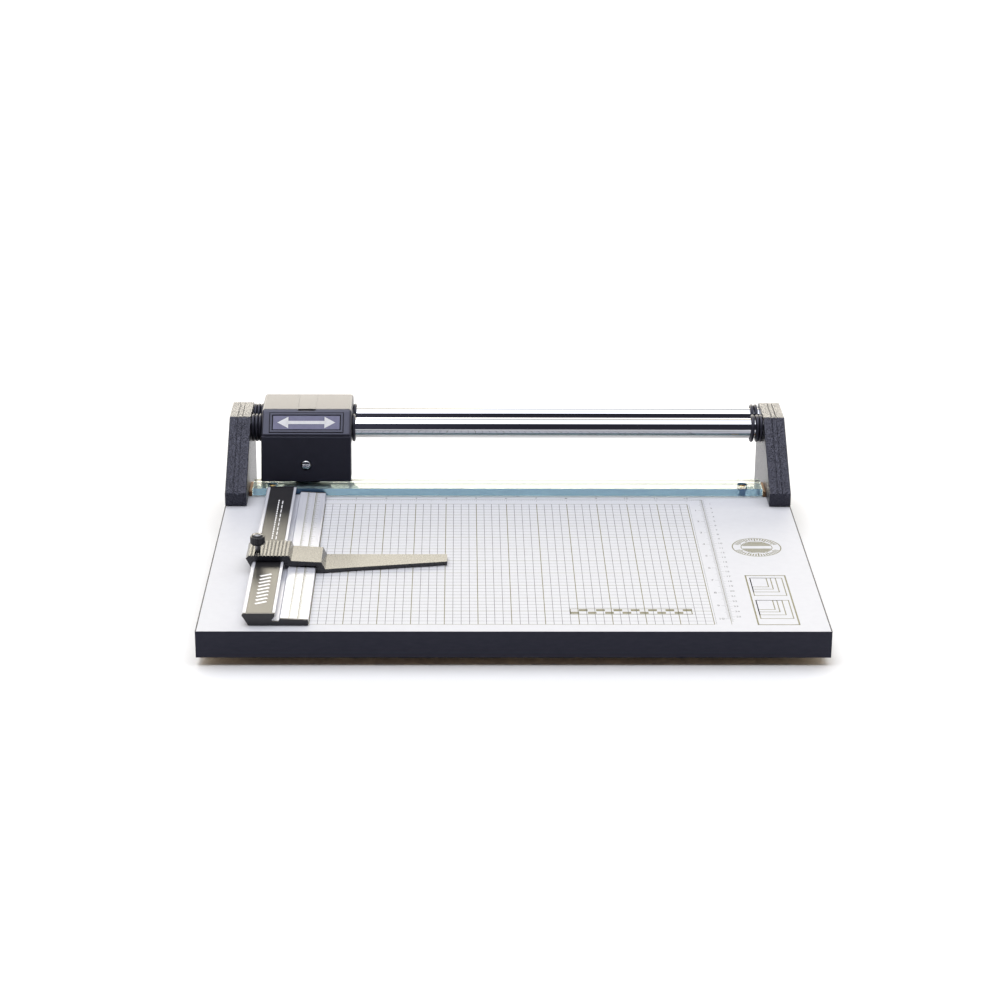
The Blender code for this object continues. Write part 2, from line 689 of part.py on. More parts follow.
def make_ruler(core, laminate):
    """An extruded bar, screwed down under its insert, with an end cap at each end."""
    front = RULER_FRONT + CAP_THICKNESS + GAP
    back = RULER_BACK - CAP_THICKNESS - GAP
    bar = outline("ruler_extrusion", ruler_section(), front, back, "y", ALUMINIUM)
    outline("ruler_cap_front", ruler_section(), RULER_FRONT, front - GAP, "y", BLACK_PLASTIC)
    outline("ruler_cap_rear", ruler_section(), back + GAP, RULER_BACK, "y", BLACK_PLASTIC)
    insert_left = (RULER_LEFT + RULER_LEAN + HIGH_RIGHT - INSERT_WIDTH) / 2
    floor = BOARD_TOP + RULER_HIGH - INSERT_THICKNESS - 2 * GAP
    recess = box(
        "insert_recess",
        (insert_left - GAP, front - 0.01, floor),
        (insert_left + INSERT_WIDTH + GAP, back + 0.01, floor + 0.01),
    )
    box(
        "ruler_insert",
        (insert_left, front + GAP, floor + GAP),
        (insert_left + INSERT_WIDTH, back - GAP, floor + GAP + INSERT_THICKNESS),
        BLACK_PLASTIC,
    )
    head, slope, shank, length = 0.0036, 0.0018, 0.0017, 0.0200
    x = insert_left + INSERT_WIDTH / 2
    cuts = [recess]
    for end, y in (("front", front + 0.0300), ("rear", back - 0.0300)):
        sink = countersunk(head + GAP, slope, shank + GAP, length + 0.0010)
        sink[0:1] = [(0, 0.004), (head + GAP, 0.004)]
        place = (x, y, floor - GAP)
        cutter = turned(f"ruler_sink_{end}", sink, place, "+z", steps=MEDIUM)
        cuts.append(cutter)
        combine(core, [cutter])
        combine(laminate, [cutter])
        profile = countersunk(head, slope, shank, length)
        slot = (head * 1.2, 0.0009, 0.0008)
        slotted_screw(f"ruler_screw_{end}", place, "+z", profile, slot, 0, STEEL)
    combine(bar, cuts)


def gauge_section():
    """Front view of the paper stop: it hooks under the rib's left edge and steps down to its arm."""
    z = BOARD_TOP
    top = z + GAUGE_TOP
    over = z + RULER_HIGH + GAUGE_PLAY
    left = RULER_LEFT
    step = HIGH_RIGHT + 0.0058
    shelf = z + RULER_LOW + 0.0007
    right = LOW_RIGHT + GAUGE_PLAY
    beside = 0.0006
    side_top = RULER_HIGH - RULER_CHAMFER
    hook = left + RULER_UNDERCUT * (side_top - GAUGE_HOOK) / (side_top - GAP) - GAUGE_PLAY
    ribs = []
    count = 11
    start = left - 0.0024
    for i in range(count):
        crest = start + i * RIB_PITCH
        ribs += [(crest, top), (crest + RIB_PITCH * 0.45, top), (crest + RIB_PITCH * 0.75, top - RIB_DEPTH)]
    ribs.append((start + count * RIB_PITCH, top))
    return [
        (left - 0.0047, z + GAUGE_TOP - 0.0025),
        *ribs,
        (step, z + 0.0106),
        (right + 0.0042, z + 0.0094),
        (right + ARM_ROOT, z + ARM_THICKNESS + GAUGE_PLAY),
        (right + ARM_ROOT, z + GAUGE_PLAY),
        (right, z + GAUGE_PLAY),
        (right, shelf),
        (HIGH_RIGHT + beside, shelf),
        (HIGH_RIGHT + beside, over),
        (left + beside, over),
        (left - beside, z + side_top),
        (hook, z + GAUGE_HOOK),
        (hook - GAUGE_HOOK_WALL, z + GAUGE_HOOK),
    ]


def make_gauge():
    """The paper stop, an extruded saddle with a long tapered arm, and the knob that locks it."""
    right = LOW_RIGHT + GAUGE_PLAY + ARM_ROOT
    low = BOARD_TOP + GAUGE_PLAY
    lap = 0.0020
    gauge = outline("paper_stop", gauge_section(), GAUGE_FRONT, GAUGE_BACK, "y", BLACK_PAINT)
    tip = right + ARM_LENGTH
    plan = [
        (right - lap, GAUGE_FRONT + 0.0002),
        (tip, GAUGE_BACK - ARM_TIP_DEPTH),
        (tip, GAUGE_BACK),
        (right - lap, GAUGE_BACK),
    ]
    arm = outline("arm_plan", plan, low, low + ARM_THICKNESS, "z")
    x = RULER_LEFT + KNOB_INSET[0]
    y = GAUGE_FRONT + KNOB_INSET[1]
    floor = BOARD_TOP + RULER_HIGH + GAUGE_PLAY
    hole = rod("stem_hole", STEM_DIAMETER / 2 + HOLE_FIT, (x, y, floor - 0.0002), 0.0300, "+z")
    combine(gauge, [arm], "UNION")
    combine(gauge, [hole])
    knob_low = BOARD_TOP + KNOB_LIFT
    stem = STEM_DIAMETER / 2
    bore = stem + HOLE_FIT
    rim = KNOB_RADIUS * 0.78
    lip = rim - 0.0006
    recess = KNOB_HEIGHT - KNOB_SEAT
    top = KNOB_HEIGHT - 0.0010
    shoulder = KNOB_HEIGHT - KNOB_RISE
    profile = [
        (bore, recess),
        (lip, recess),
        (lip, top),
        (rim, top),
        (rim, shoulder),
        (KNOB_RADIUS, shoulder - 0.0006),
        (KNOB_RADIUS, 0.0012),
        (rim, 0),
        (bore, 0),
    ]
    turned("lock_knob", profile, (x, y, knob_low), "+z", BLACK_PLASTIC, closed=True)
    seat = recess + GAP
    bottom = floor + 0.0006 - knob_low
    head = lip - GAP
    screw = [
        (0, KNOB_HEIGHT),
        (head * 0.6, KNOB_HEIGHT - 0.0002),
        (head, KNOB_HEIGHT - 0.0008),
        (head, seat),
        (stem, seat),
        (stem, bottom),
        (0, bottom),
    ]
    slot = (head * 1.2, 0.0010, 0.0007)
    slotted_screw("lock_screw", (x, y, knob_low), "+z", screw, slot, KNOB_HEIGHT, STEEL)


def cover_outline(inset, past):
    """Side view of the head's cover, moved inwards by inset, with its lower edges past where they end."""
    top = BOARD_TOP + HEAD_TOP
    front = COVER_FRONT + inset * math.sqrt(2)
    corner = HEAD_CORNER - inset
    back = COVER_BACK - inset
    return [
        (front - past, COVER_BOTTOM - past),
        (front + top - COVER_BOTTOM - inset, top - inset),
        *arc((back - corner, top - inset - corner), corner, 90, 0, 4),
        (back, BODY_BOTTOM - inset * 2),
        (COVER_FRONT + COVER_LEG + inset, BODY_BOTTOM - inset * 2),
    ]


def make_head():
    """Cover, blade guard and the casting that runs on the rails in two bushes."""
    left, right = HEAD_LEFT, HEAD_LEFT + HEAD_WIDTH
    past = 0.01
    cover = outline("head_cover", cover_outline(0, 0.0030), left, right, "x", BLACK_PAINT)
    soften(cover, 0.0012, 2)
    hollow = outline(
        "cover_hollow", cover_outline(HEAD_WALL, 0.0060), left + HEAD_WALL, right - HEAD_WALL, "x"
    )
    step = box(
        "cover_step",
        (left - past, COVER_FRONT - past, BODY_BOTTOM - past),
        (right + past, COVER_FRONT + COVER_LEG, COVER_BOTTOM),
    )
    passage = RAIL_RADIUS + PASSAGE_PLAY
    passages = [
        rod(f"{end}_passage", passage, (left - past, y, RAIL_Z), HEAD_WIDTH + 2 * past, "+x", steps=FINE)
        for end, y in RAIL_YS.items()
    ]
    combine(cover, [hollow, step, *passages])

    guard_top = COVER_BOTTOM - GAP
    head_y = COVER_FRONT + GUARD_SETBACK
    foot_y = head_y - GUARD_LEAN
    guard_back = foot_y + GUARD_REACH + GUARD_RETURN
    guard = outline(
        "blade_guard",
        [(foot_y, GUARD_BOTTOM), (head_y, guard_top), (guard_back, guard_top), (guard_back, GUARD_BOTTOM)],
        left,
        right,
        "x",
        BLACK_PAINT,
    )
    soften(guard, 0.0010, 2)
    slope = (head_y - foot_y) / (guard_top - GUARD_BOTTOM)
    wall = HEAD_WALL
    room = outline(
        "guard_room",
        [
            (foot_y + wall - slope * past, GUARD_BOTTOM - past),
            (head_y + wall + slope * past, guard_top + past),
            (guard_back + past, guard_top + past),
            (guard_back + past, GUARD_BOTTOM - past),
        ],
        left + wall,
        right - wall,
        "x",
    )
    head_hole = rod("axle_hole", AXLE_HEAD / 2 + HOLE_FIT, (HEAD_X, foot_y - past, AXLE_Z), 0.03, "+y")
    combine(guard, [room, head_hole])

    body_left, body_right = left + HEAD_WALL + GAP, right - HEAD_WALL - GAP
    ceiling = BOARD_TOP + HEAD_TOP - HEAD_WALL - BODY_CEILING
    reach = COVER_FRONT + HEAD_WALL * math.sqrt(2) + GAP * 2
    knee = COVER_BOTTOM + BODY_FRONT - reach
    section = [
        (BODY_FRONT, BODY_BOTTOM),
        (BODY_FRONT, knee),
        (BODY_FRONT + ceiling - knee, ceiling),
        (BODY_BACK - HEAD_CORNER, ceiling),
        (BODY_BACK, ceiling - HEAD_CORNER),
        (BODY_BACK, BODY_BOTTOM),
    ]
    body = outline("carriage_casting", section, body_left, body_right, "x", CAST)
    lug = box(
        "axle_lug",
        (HEAD_X - LUG_WIDTH / 2, LUG_FRONT, AXLE_Z - LUG_WIDTH / 2),
        (HEAD_X + LUG_WIDTH / 2, LUG_FRONT + LUG_DEPTH, BODY_BOTTOM + 0.001),
    )
    lug_hole = rod(
        "lug_hole", AXLE_DIAMETER / 2 + HOLE_FIT, (HEAD_X, LUG_FRONT - past, AXLE_Z), 0.03, "+y"
    )
    through = HEAD_WIDTH + 2 * past
    bores = [
        rod(f"{end}_bore", BUSH_RADIUS + GAP, (left - past, y, RAIL_Z), through, "+x", steps=FINE)
        for end, y in RAIL_YS.items()
    ]
    combine(body, [lug], "UNION")
    combine(body, [lug_hole, *bores])
    half = (body_right - body_left) / 2
    inner = RAIL_RADIUS + SLIDE_FIT
    bush = [(BUSH_RADIUS, half), (BUSH_RADIUS, -half), (inner, -half), (inner, half)]
    for end, y in RAIL_YS.items():
        middle = ((body_left + body_right) / 2, y, RAIL_Z)
        turned(f"{end}_rail_bush", bush, middle, "+x", BLACK_PLASTIC, closed=True)
    return foot_y


def make_blade(guard_foot):
    """The round blade on its hub, the axle screw that carries them, and the spring behind the hub."""
    centre = (HEAD_X, BLADE_FRONT, AXLE_Z)
    eye = 0.0060
    edge = 0.0028
    blade = [
        (BLADE_RADIUS - edge, BLADE_THICKNESS),
        (BLADE_RADIUS, 0.0002),
        (BLADE_RADIUS, 0),
        (eye, 0),
        (eye, BLADE_THICKNESS),
    ]
    turned("cutting_blade", blade, centre, "+y", STEEL, closed=True, steps=2 * FINE)
    boss = eye - GAP
    bore = HUB_BORE / 2
    flange_low = BLADE_THICKNESS + GAP
    flange_high = flange_low + 0.0015
    nose = -0.0063
    hub = [
        (0.0100, flange_high),
        (0.0100, flange_low),
        (boss, flange_low),
        (boss, nose),
        (bore, nose),
        (bore, flange_high),
    ]
    turned("blade_hub", hub, centre, "+y", BRASS, closed=True)
    head_inner = nose - GAP
    face = guard_foot - BLADE_FRONT + 0.0024
    shank = AXLE_DIAMETER / 2
    end = LUG_FRONT + LUG_DEPTH - BLADE_FRONT + 0.0015
    head = AXLE_HEAD / 2
    dome = [(head * math.sin(a), face + head * 0.45 * (1 - math.cos(a))) for a in (0.0, 0.5, 1.0, 1.5708)]
    axle = [(0, -dome[0][1])] + [(radius, -height) for radius, height in dome[1:]]
    axle += [(head, -head_inner), (shank, -head_inner), (shank, -end), (0, -end)]
    slotted_screw("blade_axle", centre, "-y", axle, (head * 1.2, 0.0010, 0.0008), -face, CHROME)
    low, high = flange_high + GAP, LUG_FRONT - GAP - BLADE_FRONT
    coil("blade_spring", 0.0042, 0.0010, low, high, 3, centre, "+y", STEEL)


def round_off(obj):
    """Smooth shading with sharp edges kept, for the turned and bent pieces."""
    obj.data.shade_smooth()
    obj.data.set_sharp_from_angle(angle=math.radians(40))


def main():
    core, laminate = make_base()
    make_frames(core, laminate)
    make_rails()
    make_rings()
    make_counter_knife(core)
    make_clamp_strip(core, laminate)
    make_ruler(core, laminate)
    make_gauge()
    make_blade(make_head())
    for obj in PARTS.objects:
        if obj.type == "MESH":
            round_off(obj)


main()
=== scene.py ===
"""A desk-top rotary paper trimmer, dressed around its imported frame."""

import math

import bmesh
import bpy
from mathutils import Matrix, Vector


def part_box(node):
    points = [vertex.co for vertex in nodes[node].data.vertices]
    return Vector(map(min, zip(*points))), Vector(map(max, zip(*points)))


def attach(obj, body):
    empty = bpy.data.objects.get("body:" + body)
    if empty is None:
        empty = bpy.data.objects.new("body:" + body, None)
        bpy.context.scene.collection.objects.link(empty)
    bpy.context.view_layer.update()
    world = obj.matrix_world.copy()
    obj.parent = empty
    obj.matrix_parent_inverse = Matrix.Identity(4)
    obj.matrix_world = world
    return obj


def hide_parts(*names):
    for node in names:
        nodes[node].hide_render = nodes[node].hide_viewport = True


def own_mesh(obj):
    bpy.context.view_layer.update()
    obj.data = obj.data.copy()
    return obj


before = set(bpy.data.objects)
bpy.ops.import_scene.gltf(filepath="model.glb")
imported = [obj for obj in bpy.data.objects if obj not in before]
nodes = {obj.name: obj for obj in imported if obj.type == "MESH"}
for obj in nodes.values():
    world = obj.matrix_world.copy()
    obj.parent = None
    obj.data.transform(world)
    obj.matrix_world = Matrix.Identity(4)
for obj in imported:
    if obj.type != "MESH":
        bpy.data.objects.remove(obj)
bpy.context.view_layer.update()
scene = bpy.context.scene

# Baseboard: a slab of chipboard, sawn square, with its pressed chips showing underneath and at the back.
# It carries everything else, and is drilled from below for the bolts.

EVEN = (1.0, 1.0, 1.0)
COOL = (0.74, 0.76, 1.0)


def new_group(name, inputs, outputs):
    """An empty shader node group with the named inputs, with their values, and the named outputs."""
    group = bpy.data.node_groups.new(name, "ShaderNodeTree")
    for label, kind, value in inputs:
        socket = group.interface.new_socket(label, in_out="INPUT", socket_type=f"NodeSocket{kind}")
        socket.default_value = value
    for label, kind in outputs:
        group.interface.new_socket(label, in_out="OUTPUT", socket_type=f"NodeSocket{kind}")
    return group, group.nodes.new("NodeGroupInput"), group.nodes.new("NodeGroupOutput")


def add_math(tree, operation, first, second=None, third=None):
    """A Math node, each of whose inputs is a number or another node's output."""
    node = tree.nodes.new("ShaderNodeMath")
    node.operation = operation
    for socket, value in zip(node.inputs, (first, second, third)):
        if value is None:
            continue
        if isinstance(value, (int, float)):
            socket.default_value = value
        else:
            tree.links.new(value, socket)
    return node.outputs[0]


def make_mottle():
    """Uneven patches: a broad mask from a slow noise, and a fine grain from a quick one."""
    group, given, result = new_group(
        "mottle",
        [("Scale", "Float", 500.0), ("Stretch", "Vector", EVEN), ("Contrast", "Float", 0.25)],
        [("Mask", "Float"), ("Grain", "Float")],
    )
    place = group.nodes.new("ShaderNodeTexCoord")
    spread = group.nodes.new("ShaderNodeVectorMath")
    spread.operation = "MULTIPLY"
    group.links.new(place.outputs["Object"], spread.inputs[0])
    group.links.new(given.outputs["Stretch"], spread.inputs[1])
    broad = group.nodes.new("ShaderNodeTexNoise")
    broad.inputs["Detail"].default_value = 3.0
    broad.inputs["Roughness"].default_value = 0.6
    group.links.new(spread.outputs[0], broad.inputs["Vector"])
    group.links.new(add_math(group, "MULTIPLY", given.outputs["Scale"], 0.15), broad.inputs["Scale"])
    fine = group.nodes.new("ShaderNodeTexNoise")
    fine.inputs["Detail"].default_value = 2.0
    group.links.new(spread.outputs[0], fine.inputs["Vector"])
    group.links.new(given.outputs["Scale"], fine.inputs["Scale"])
    low = add_math(group, "SUBTRACT", 0.5, given.outputs["Contrast"])
    high = add_math(group, "ADD", 0.5, given.outputs["Contrast"])
    mask = group.nodes.new("ShaderNodeMapRange")
    group.links.new(broad.outputs["Fac"], mask.inputs["Value"])
    group.links.new(low, mask.inputs["From Min"])
    group.links.new(high, mask.inputs["From Max"])
    group.links.new(mask.outputs["Result"], result.inputs["Mask"])
    group.links.new(fine.outputs["Fac"], result.inputs["Grain"])
    return group


MOTTLE = make_mottle()


def finish(
    name, colours, roughness, metallic=0.0, grain=0.0006, bump=0.0,
    stretch=EVEN, specular=0.5, sheen_colour=EVEN
):
    """A surface whose colour and gloss drift between two values, with a fine grain raised by bump metres."""
    material = bpy.data.materials.new(name)
    material.use_nodes = True
    tree = material.node_tree
    shader = tree.nodes["Principled BSDF"]
    shader.inputs["Metallic"].default_value = metallic
    shader.inputs["Specular IOR Level"].default_value = specular
    shader.inputs["Specular Tint"].default_value = (*sheen_colour, 1.0)
    mottle = tree.nodes.new("ShaderNodeGroup")
    mottle.node_tree = MOTTLE
    mottle.name = "mottle"
    mottle.inputs["Scale"].default_value = 1.0 / grain
    mottle.inputs["Stretch"].default_value = stretch
    tint = tree.nodes.new("ShaderNodeMix")
    tint.data_type = "RGBA"
    tint.name = "tint"
    tree.links.new(mottle.outputs["Mask"], tint.inputs["Factor"])
    for socket, colour in zip(("A", "B"), colours):
        next(s for s in tint.inputs if s.name == socket and s.type == "RGBA").default_value = (*colour, 1.0)
    colour_out = next(s for s in tint.outputs if s.type == "RGBA")
    tree.links.new(colour_out, shader.inputs["Base Color"])
    gloss = tree.nodes.new("ShaderNodeMapRange")
    gloss.inputs["To Min"].default_value, gloss.inputs["To Max"].default_value = roughness
    tree.links.new(mottle.outputs["Grain"], gloss.inputs["Value"])
    tree.links.new(gloss.outputs["Result"], shader.inputs["Roughness"])
    if bump:
        relief = tree.nodes.new("ShaderNodeBump")
        relief.name = "relief"
        relief.inputs["Distance"].default_value = bump
        tree.links.new(mottle.outputs["Grain"], relief.inputs["Height"])
        tree.links.new(relief.outputs["Normal"], shader.inputs["Normal"])
    return material


def dress(material, *names):
    """Puts a material on CAD nodes."""
    for name in names:
        slots = nodes[name].data.materials
        slots.clear()
        slots.append(material)


def make_chipboard():
    """Chips of several browns, pressed flat, each a cell of its own tone."""
    material = finish("chipboard", ((0.30, 0.19, 0.10), (0.46, 0.32, 0.18)), (0.75, 0.92), bump=0.00012)
    tree = material.node_tree
    shader = tree.nodes["Principled BSDF"]
    place = tree.nodes.new("ShaderNodeTexCoord")
    chips = tree.nodes.new("ShaderNodeTexVoronoi")
    chips.inputs["Scale"].default_value = 320.0
    chips.inputs["Randomness"].default_value = 1.0
    tree.links.new(place.outputs["Object"], chips.inputs["Vector"])
    tone = tree.nodes.new("ShaderNodeSeparateColor")
    tree.links.new(chips.outputs["Color"], tone.inputs["Color"])
    ramp = tree.nodes.new("ShaderNodeValToRGB")
    stops = ramp.color_ramp.elements
    stops[0].color = (0.20, 0.12, 0.06, 1.0)
    stops[1].color = (0.62, 0.47, 0.29, 1.0)
    middle = stops.new(0.45)
    middle.color = (0.40, 0.27, 0.15, 1.0)
    tree.links.new(tone.outputs["Red"], ramp.inputs["Fac"])
    tree.links.new(ramp.outputs["Color"], shader.inputs["Base Color"])
    tree.links.new(chips.outputs["Distance"], tree.nodes["relief"].inputs["Height"])
    return material


dress(make_chipboard(), "baseboard")

# Laminate: a thin white melamine sheet bonded to the top. It is matt, with the faint pebble of its press
# plate, and cut flush with the edging, which leaves its bright edge showing as a thin line.

board_low, board_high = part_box("board_top")
laminate = finish(
    "white_laminate", ((0.575, 0.58, 0.61), (0.60, 0.605, 0.635)), (0.50, 0.60), grain=0.0009,
    bump=0.000006, specular=0.08
)
dress(laminate, "board_top")

# Edging: a dark plastic band glued round the two sides and the front, slightly grained by its roller.

edging = finish(
    "edging_band", ((0.014, 0.014, 0.022), (0.021, 0.021, 0.031)), (0.42, 0.58), grain=0.0007,
    bump=0.00002, stretch=(0.5, 0.5, 2.0), specular=0.30, sheen_colour=COOL
)
dress(edging, "edge_band")
BEAD_WIDTH, BEAD_HEIGHT = 0.0009, 0.00006
LIP_WIDTH, LIP_HEIGHT, BRIGHT_LINE = 0.00012, 0.0008, 0.00016


def block(bm, middle, size, turn=Matrix.Identity(4)):
    """A box of the given size about its middle, turned there."""
    place = Matrix.Translation(middle) @ turn @ Matrix.Diagonal((*size, 1.0))
    return bmesh.ops.create_cube(bm, size=1.0, matrix=place)


beads = bmesh.new()
board_middle = (board_low + board_high) / 2
lip_z = board_high.z - LIP_HEIGHT / 2 - BRIGHT_LINE
lip_middle = (board_middle.x, board_low.y - LIP_WIDTH / 2, lip_z)
block(beads, lip_middle, (board_high.x - board_low.x, LIP_WIDTH, LIP_HEIGHT))
for outer in (board_low.x, board_high.x - BEAD_WIDTH):
    middle = (outer + BEAD_WIDTH / 2, board_middle.y, board_high.z + BEAD_HEIGHT / 2)
    block(beads, middle, (BEAD_WIDTH, board_high.y - board_low.y, BEAD_HEIGHT))

# Printed grid: olive-grey ink, screen-printed on the laminate as quarter-inch squares with a heavier line
# at each inch, and scales with figures along the back and the right-hand side.

INCH = 0.0254
CELL = INCH / 4
INK_HEIGHT = 0.000012
grid_left = board_low.x + 0.1983
grid_front = board_low.y + 0.0132
ink_floor = board_high.z + 0.000003


def printed(bm, left, front, right, back, floor=ink_floor):
    """A flat stroke of ink between two corners, lying on floor, which is the board unless given."""
    middle = ((left + right) / 2, (front + back) / 2, floor + INK_HEIGHT / 2)
    block(bm, middle, (right - left, back - front, INK_HEIGHT))


def as_piece(bm, name, material, body, stands_for=(), smooth=0.0):
    """Makes a mesh into a named piece that rides on a body, and hides the CAD nodes it stands for."""
    mesh = bpy.data.meshes.new(name)
    bm.to_mesh(mesh)
    bm.free()
    mesh.materials.append(material)
    piece = bpy.data.objects.new(name, mesh)
    scene.collection.objects.link(piece)
    if smooth:
        mesh.shade_smooth()
        mesh.set_sharp_from_angle(angle=math.radians(smooth))
        shading = piece.modifiers.new("even_shading", "WEIGHTED_NORMAL")
        shading.weight = 100
        shading.keep_sharp = True
    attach(piece, body)
    if stands_for:
        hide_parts(*stands_for)
    return piece


as_piece(beads, "edging_top_edges", edging, "base")

fine_ink = finish("grid_ink", ((0.075, 0.075, 0.085), (0.12, 0.12, 0.13)), (0.5, 0.7), grain=0.0004)
heavy_ink = finish("olive_ink", ((0.13, 0.122, 0.062), (0.19, 0.178, 0.095)), (0.5, 0.7), grain=0.0004)

FIRST_COLUMN, LAST_COLUMN, ROWS = -18, 30, 40
INCH_COLUMN, CELL_COLUMN, INCH_ROW, CELL_ROW = 0.00032, 0.00019, 0.00026, 0.00017
SCALE_GAP, SCALE_RISE, SCALE_LINE = 0.0130, 0.0107, 0.00018
fine = bmesh.new()
heavy = bmesh.new()
first_x = grid_left + FIRST_COLUMN * CELL
grid_right = grid_left + LAST_COLUMN * CELL
grid_back = grid_front + ROWS * CELL
for column in range(FIRST_COLUMN, LAST_COLUMN + 1):
    x = grid_left + column * CELL
    major = (column - 2) % 4 == 0
    half = INCH_COLUMN if major else CELL_COLUMN
    printed(heavy if major else fine, x - half, grid_front, x + half, grid_back)
for row in range(ROWS + 1):
    y = grid_front + row * CELL
    major = row % 4 == 0
    half = INCH_ROW if major else CELL_ROW
    printed(heavy if major else fine, first_x, y - half, grid_right, y + half)
printed(fine, grid_right + 0.0015, grid_front, grid_right + 0.0017, grid_back)
scale_x, scale_y = grid_right + SCALE_GAP, grid_back + SCALE_RISE
printed(heavy, scale_x - SCALE_LINE, grid_front, scale_x + SCALE_LINE, scale_y)
printed(heavy, first_x, scale_y - SCALE_LINE, scale_x, scale_y + SCALE_LINE)

MILLIMETRE, SIXTEENTH = 0.001, INCH / 16
METRIC_TICKS, INCH_TICKS = (0.0042, 0.0030, 0.0018), (0.0046, 0.0034, 0.0020)


def tick(step, whole, lengths):
    """How long one division's line is: at a whole, at a half, or between them."""
    return lengths[0] if step % whole == 0 else lengths[1] if step % (whole // 2) == 0 else lengths[2]


for step in range(260):
    y = scale_y - step * MILLIMETRE
    printed(fine, scale_x, y - 0.00010, scale_x + tick(step, 10, METRIC_TICKS), y + 0.00010)
for step in range(ROWS * 4 + 1):
    y = scale_y - step * SIXTEENTH
    printed(fine, scale_x - tick(step, 16, INCH_TICKS), y - 0.00012, scale_x, y + 0.00012)
for step in range(int((scale_x - first_x) / SIXTEENTH) + 1):
    x = first_x + step * SIXTEENTH
    printed(fine, x - 0.00014, scale_y - tick(step, 16, INCH_TICKS), x + 0.00014, scale_y)
as_piece(fine, "grid_fine_lines", fine_ink, "base")
as_piece(heavy, "grid_inch_lines", heavy_ink, "base")


def as_made(holder):
    """A plain mesh of an object as its modifiers or its text make it."""
    bpy.context.view_layer.update()
    return bpy.data.meshes.new_from_object(holder.evaluated_get(bpy.context.evaluated_depsgraph_get()))


def figures(bm, places, size):
    """Printed numbers: each of places is (text, x, y) of its middle on the board."""
    for text, x, y in places:
        curve = bpy.data.curves.new("figure", "FONT")
        curve.body = text
        curve.size = size
        curve.align_x = "CENTER"
        curve.align_y = "CENTER"
        curve.extrude = INK_HEIGHT / 2
        curve.resolution_u = 3
        holder = bpy.data.objects.new("figure", curve)
        scene.collection.objects.link(holder)
        shape = as_made(holder)
        shape.transform(Matrix.Translation((x, y, ink_floor + INK_HEIGHT / 2)))
        bm.from_mesh(shape)
        bpy.data.objects.remove(holder)
        bpy.data.curves.remove(curve)
        bpy.data.meshes.remove(shape)


numbers = bmesh.new()
INCH_SIZE, METRIC_SIZE, TOP_SIZE = 0.0046, 0.0038, 0.0044
inches = [(str(i), scale_x - 0.0068, scale_y - i * INCH) for i in range(1, 11)]
centimetres = [(str(i), scale_x + 0.0066, scale_y - i * 0.01) for i in range(1, 26)]
figures(numbers, inches, INCH_SIZE)
figures(numbers, centimetres, METRIC_SIZE)
across = [(str(i), first_x + i * INCH, scale_y + 0.0030) for i in range(1, 13)]
figures(numbers, across, TOP_SIZE)
as_piece(numbers, "scale_figures", fine_ink, "base")

# Printed marks: beside the grid, a round mark of rays and bars, and a boxed chart of nested paper sizes;
# on it, a bar of alternate blocks. All are the same olive ink.

MARK_RADIUS, RING_WIDTH = 0.0200, 0.0009
RAYS, RAY_END, RAY_WIDTH = 48, 0.0186, 0.0011
DISC_RADIUS, BARS, FIRST_BAR, BAR_PITCH, BAR_WIDTH = 0.0120, 5, 0.0036, 0.0017, 0.0013
mark_x, mark_y = grid_left + 0.2389, grid_front + 0.1565
marks = bmesh.new()


def grown(bm, faces, way):
    """Pulls faces out along way, leaving walls behind them."""
    pulled = bmesh.ops.extrude_face_region(bm, geom=faces)
    verts = [v for v in pulled["geom"] if isinstance(v, bmesh.types.BMVert)]
    bmesh.ops.translate(bm, verts=verts, vec=way)


def ring_of_ink(bm, x, y, inner, outer):
    """A flat printed ring."""
    edges = []
    place = Matrix.Translation((x, y, ink_floor))
    for radius in (inner, outer):
        made = bmesh.ops.create_circle(bm, segments=96, radius=radius, matrix=place)
        edges += list({e for v in made["verts"] for e in v.link_edges})
    bridged = bmesh.ops.bridge_loops(bm, edges=edges)
    grown(bm, bridged["faces"], (0, 0, INK_HEIGHT))


def stroke(bm, start, end, width, floor=ink_floor):
    """A straight stroke of ink from start to end, lying on floor."""
    along = Vector(end) - Vector(start)
    middle = (Vector(start) + Vector(end)) / 2
    turn = Matrix.Rotation(math.atan2(along.y, along.x), 4, "Z")
    block(bm, (middle.x, middle.y, floor + INK_HEIGHT / 2), (along.length, width, INK_HEIGHT), turn)


ring_of_ink(marks, mark_x, mark_y, MARK_RADIUS - RING_WIDTH, MARK_RADIUS)
ring_of_ink(marks, mark_x, mark_y, 0.0122, 0.0128)
for step in range(RAYS):
    angle = 2 * math.pi * step / RAYS
    if abs(math.sin(angle)) < 0.26:
        continue
    inner = 0.0136 if step % 4 == 0 else 0.0150
    way = Vector((math.cos(angle), math.sin(angle)))
    middle = Vector((mark_x, mark_y))
    stroke(marks, middle + way * inner, middle + way * RAY_END, RAY_WIDTH)
for side in (-1, 1):
    for level in range(BARS):
        y = FIRST_BAR + level * BAR_PITCH
        reach = math.sqrt(DISC_RADIUS**2 - y**2)
        start, end = (mark_x - reach, mark_y + side * y), (mark_x + reach, mark_y + side * y)
        stroke(marks, start, end, BAR_WIDTH)

chart_left, chart_right = grid_left + 0.2235, grid_left + 0.2545
chart_front, chart_back = grid_front - 0.0004, grid_front + 0.0964
CHART_LINE, SHEET_LINE, SHEET_LENGTH = 0.0012, 0.0008, 0.0250


def outline_of_ink(bm, left, front, right, back, width):
    """A printed rectangle."""
    stroke(bm, (left - width / 2, front), (right + width / 2, front), width)
    stroke(bm, (left - width / 2, back), (right + width / 2, back), width)
    stroke(bm, (left, front), (left, back), width)
    stroke(bm, (right, front), (right, back), width)


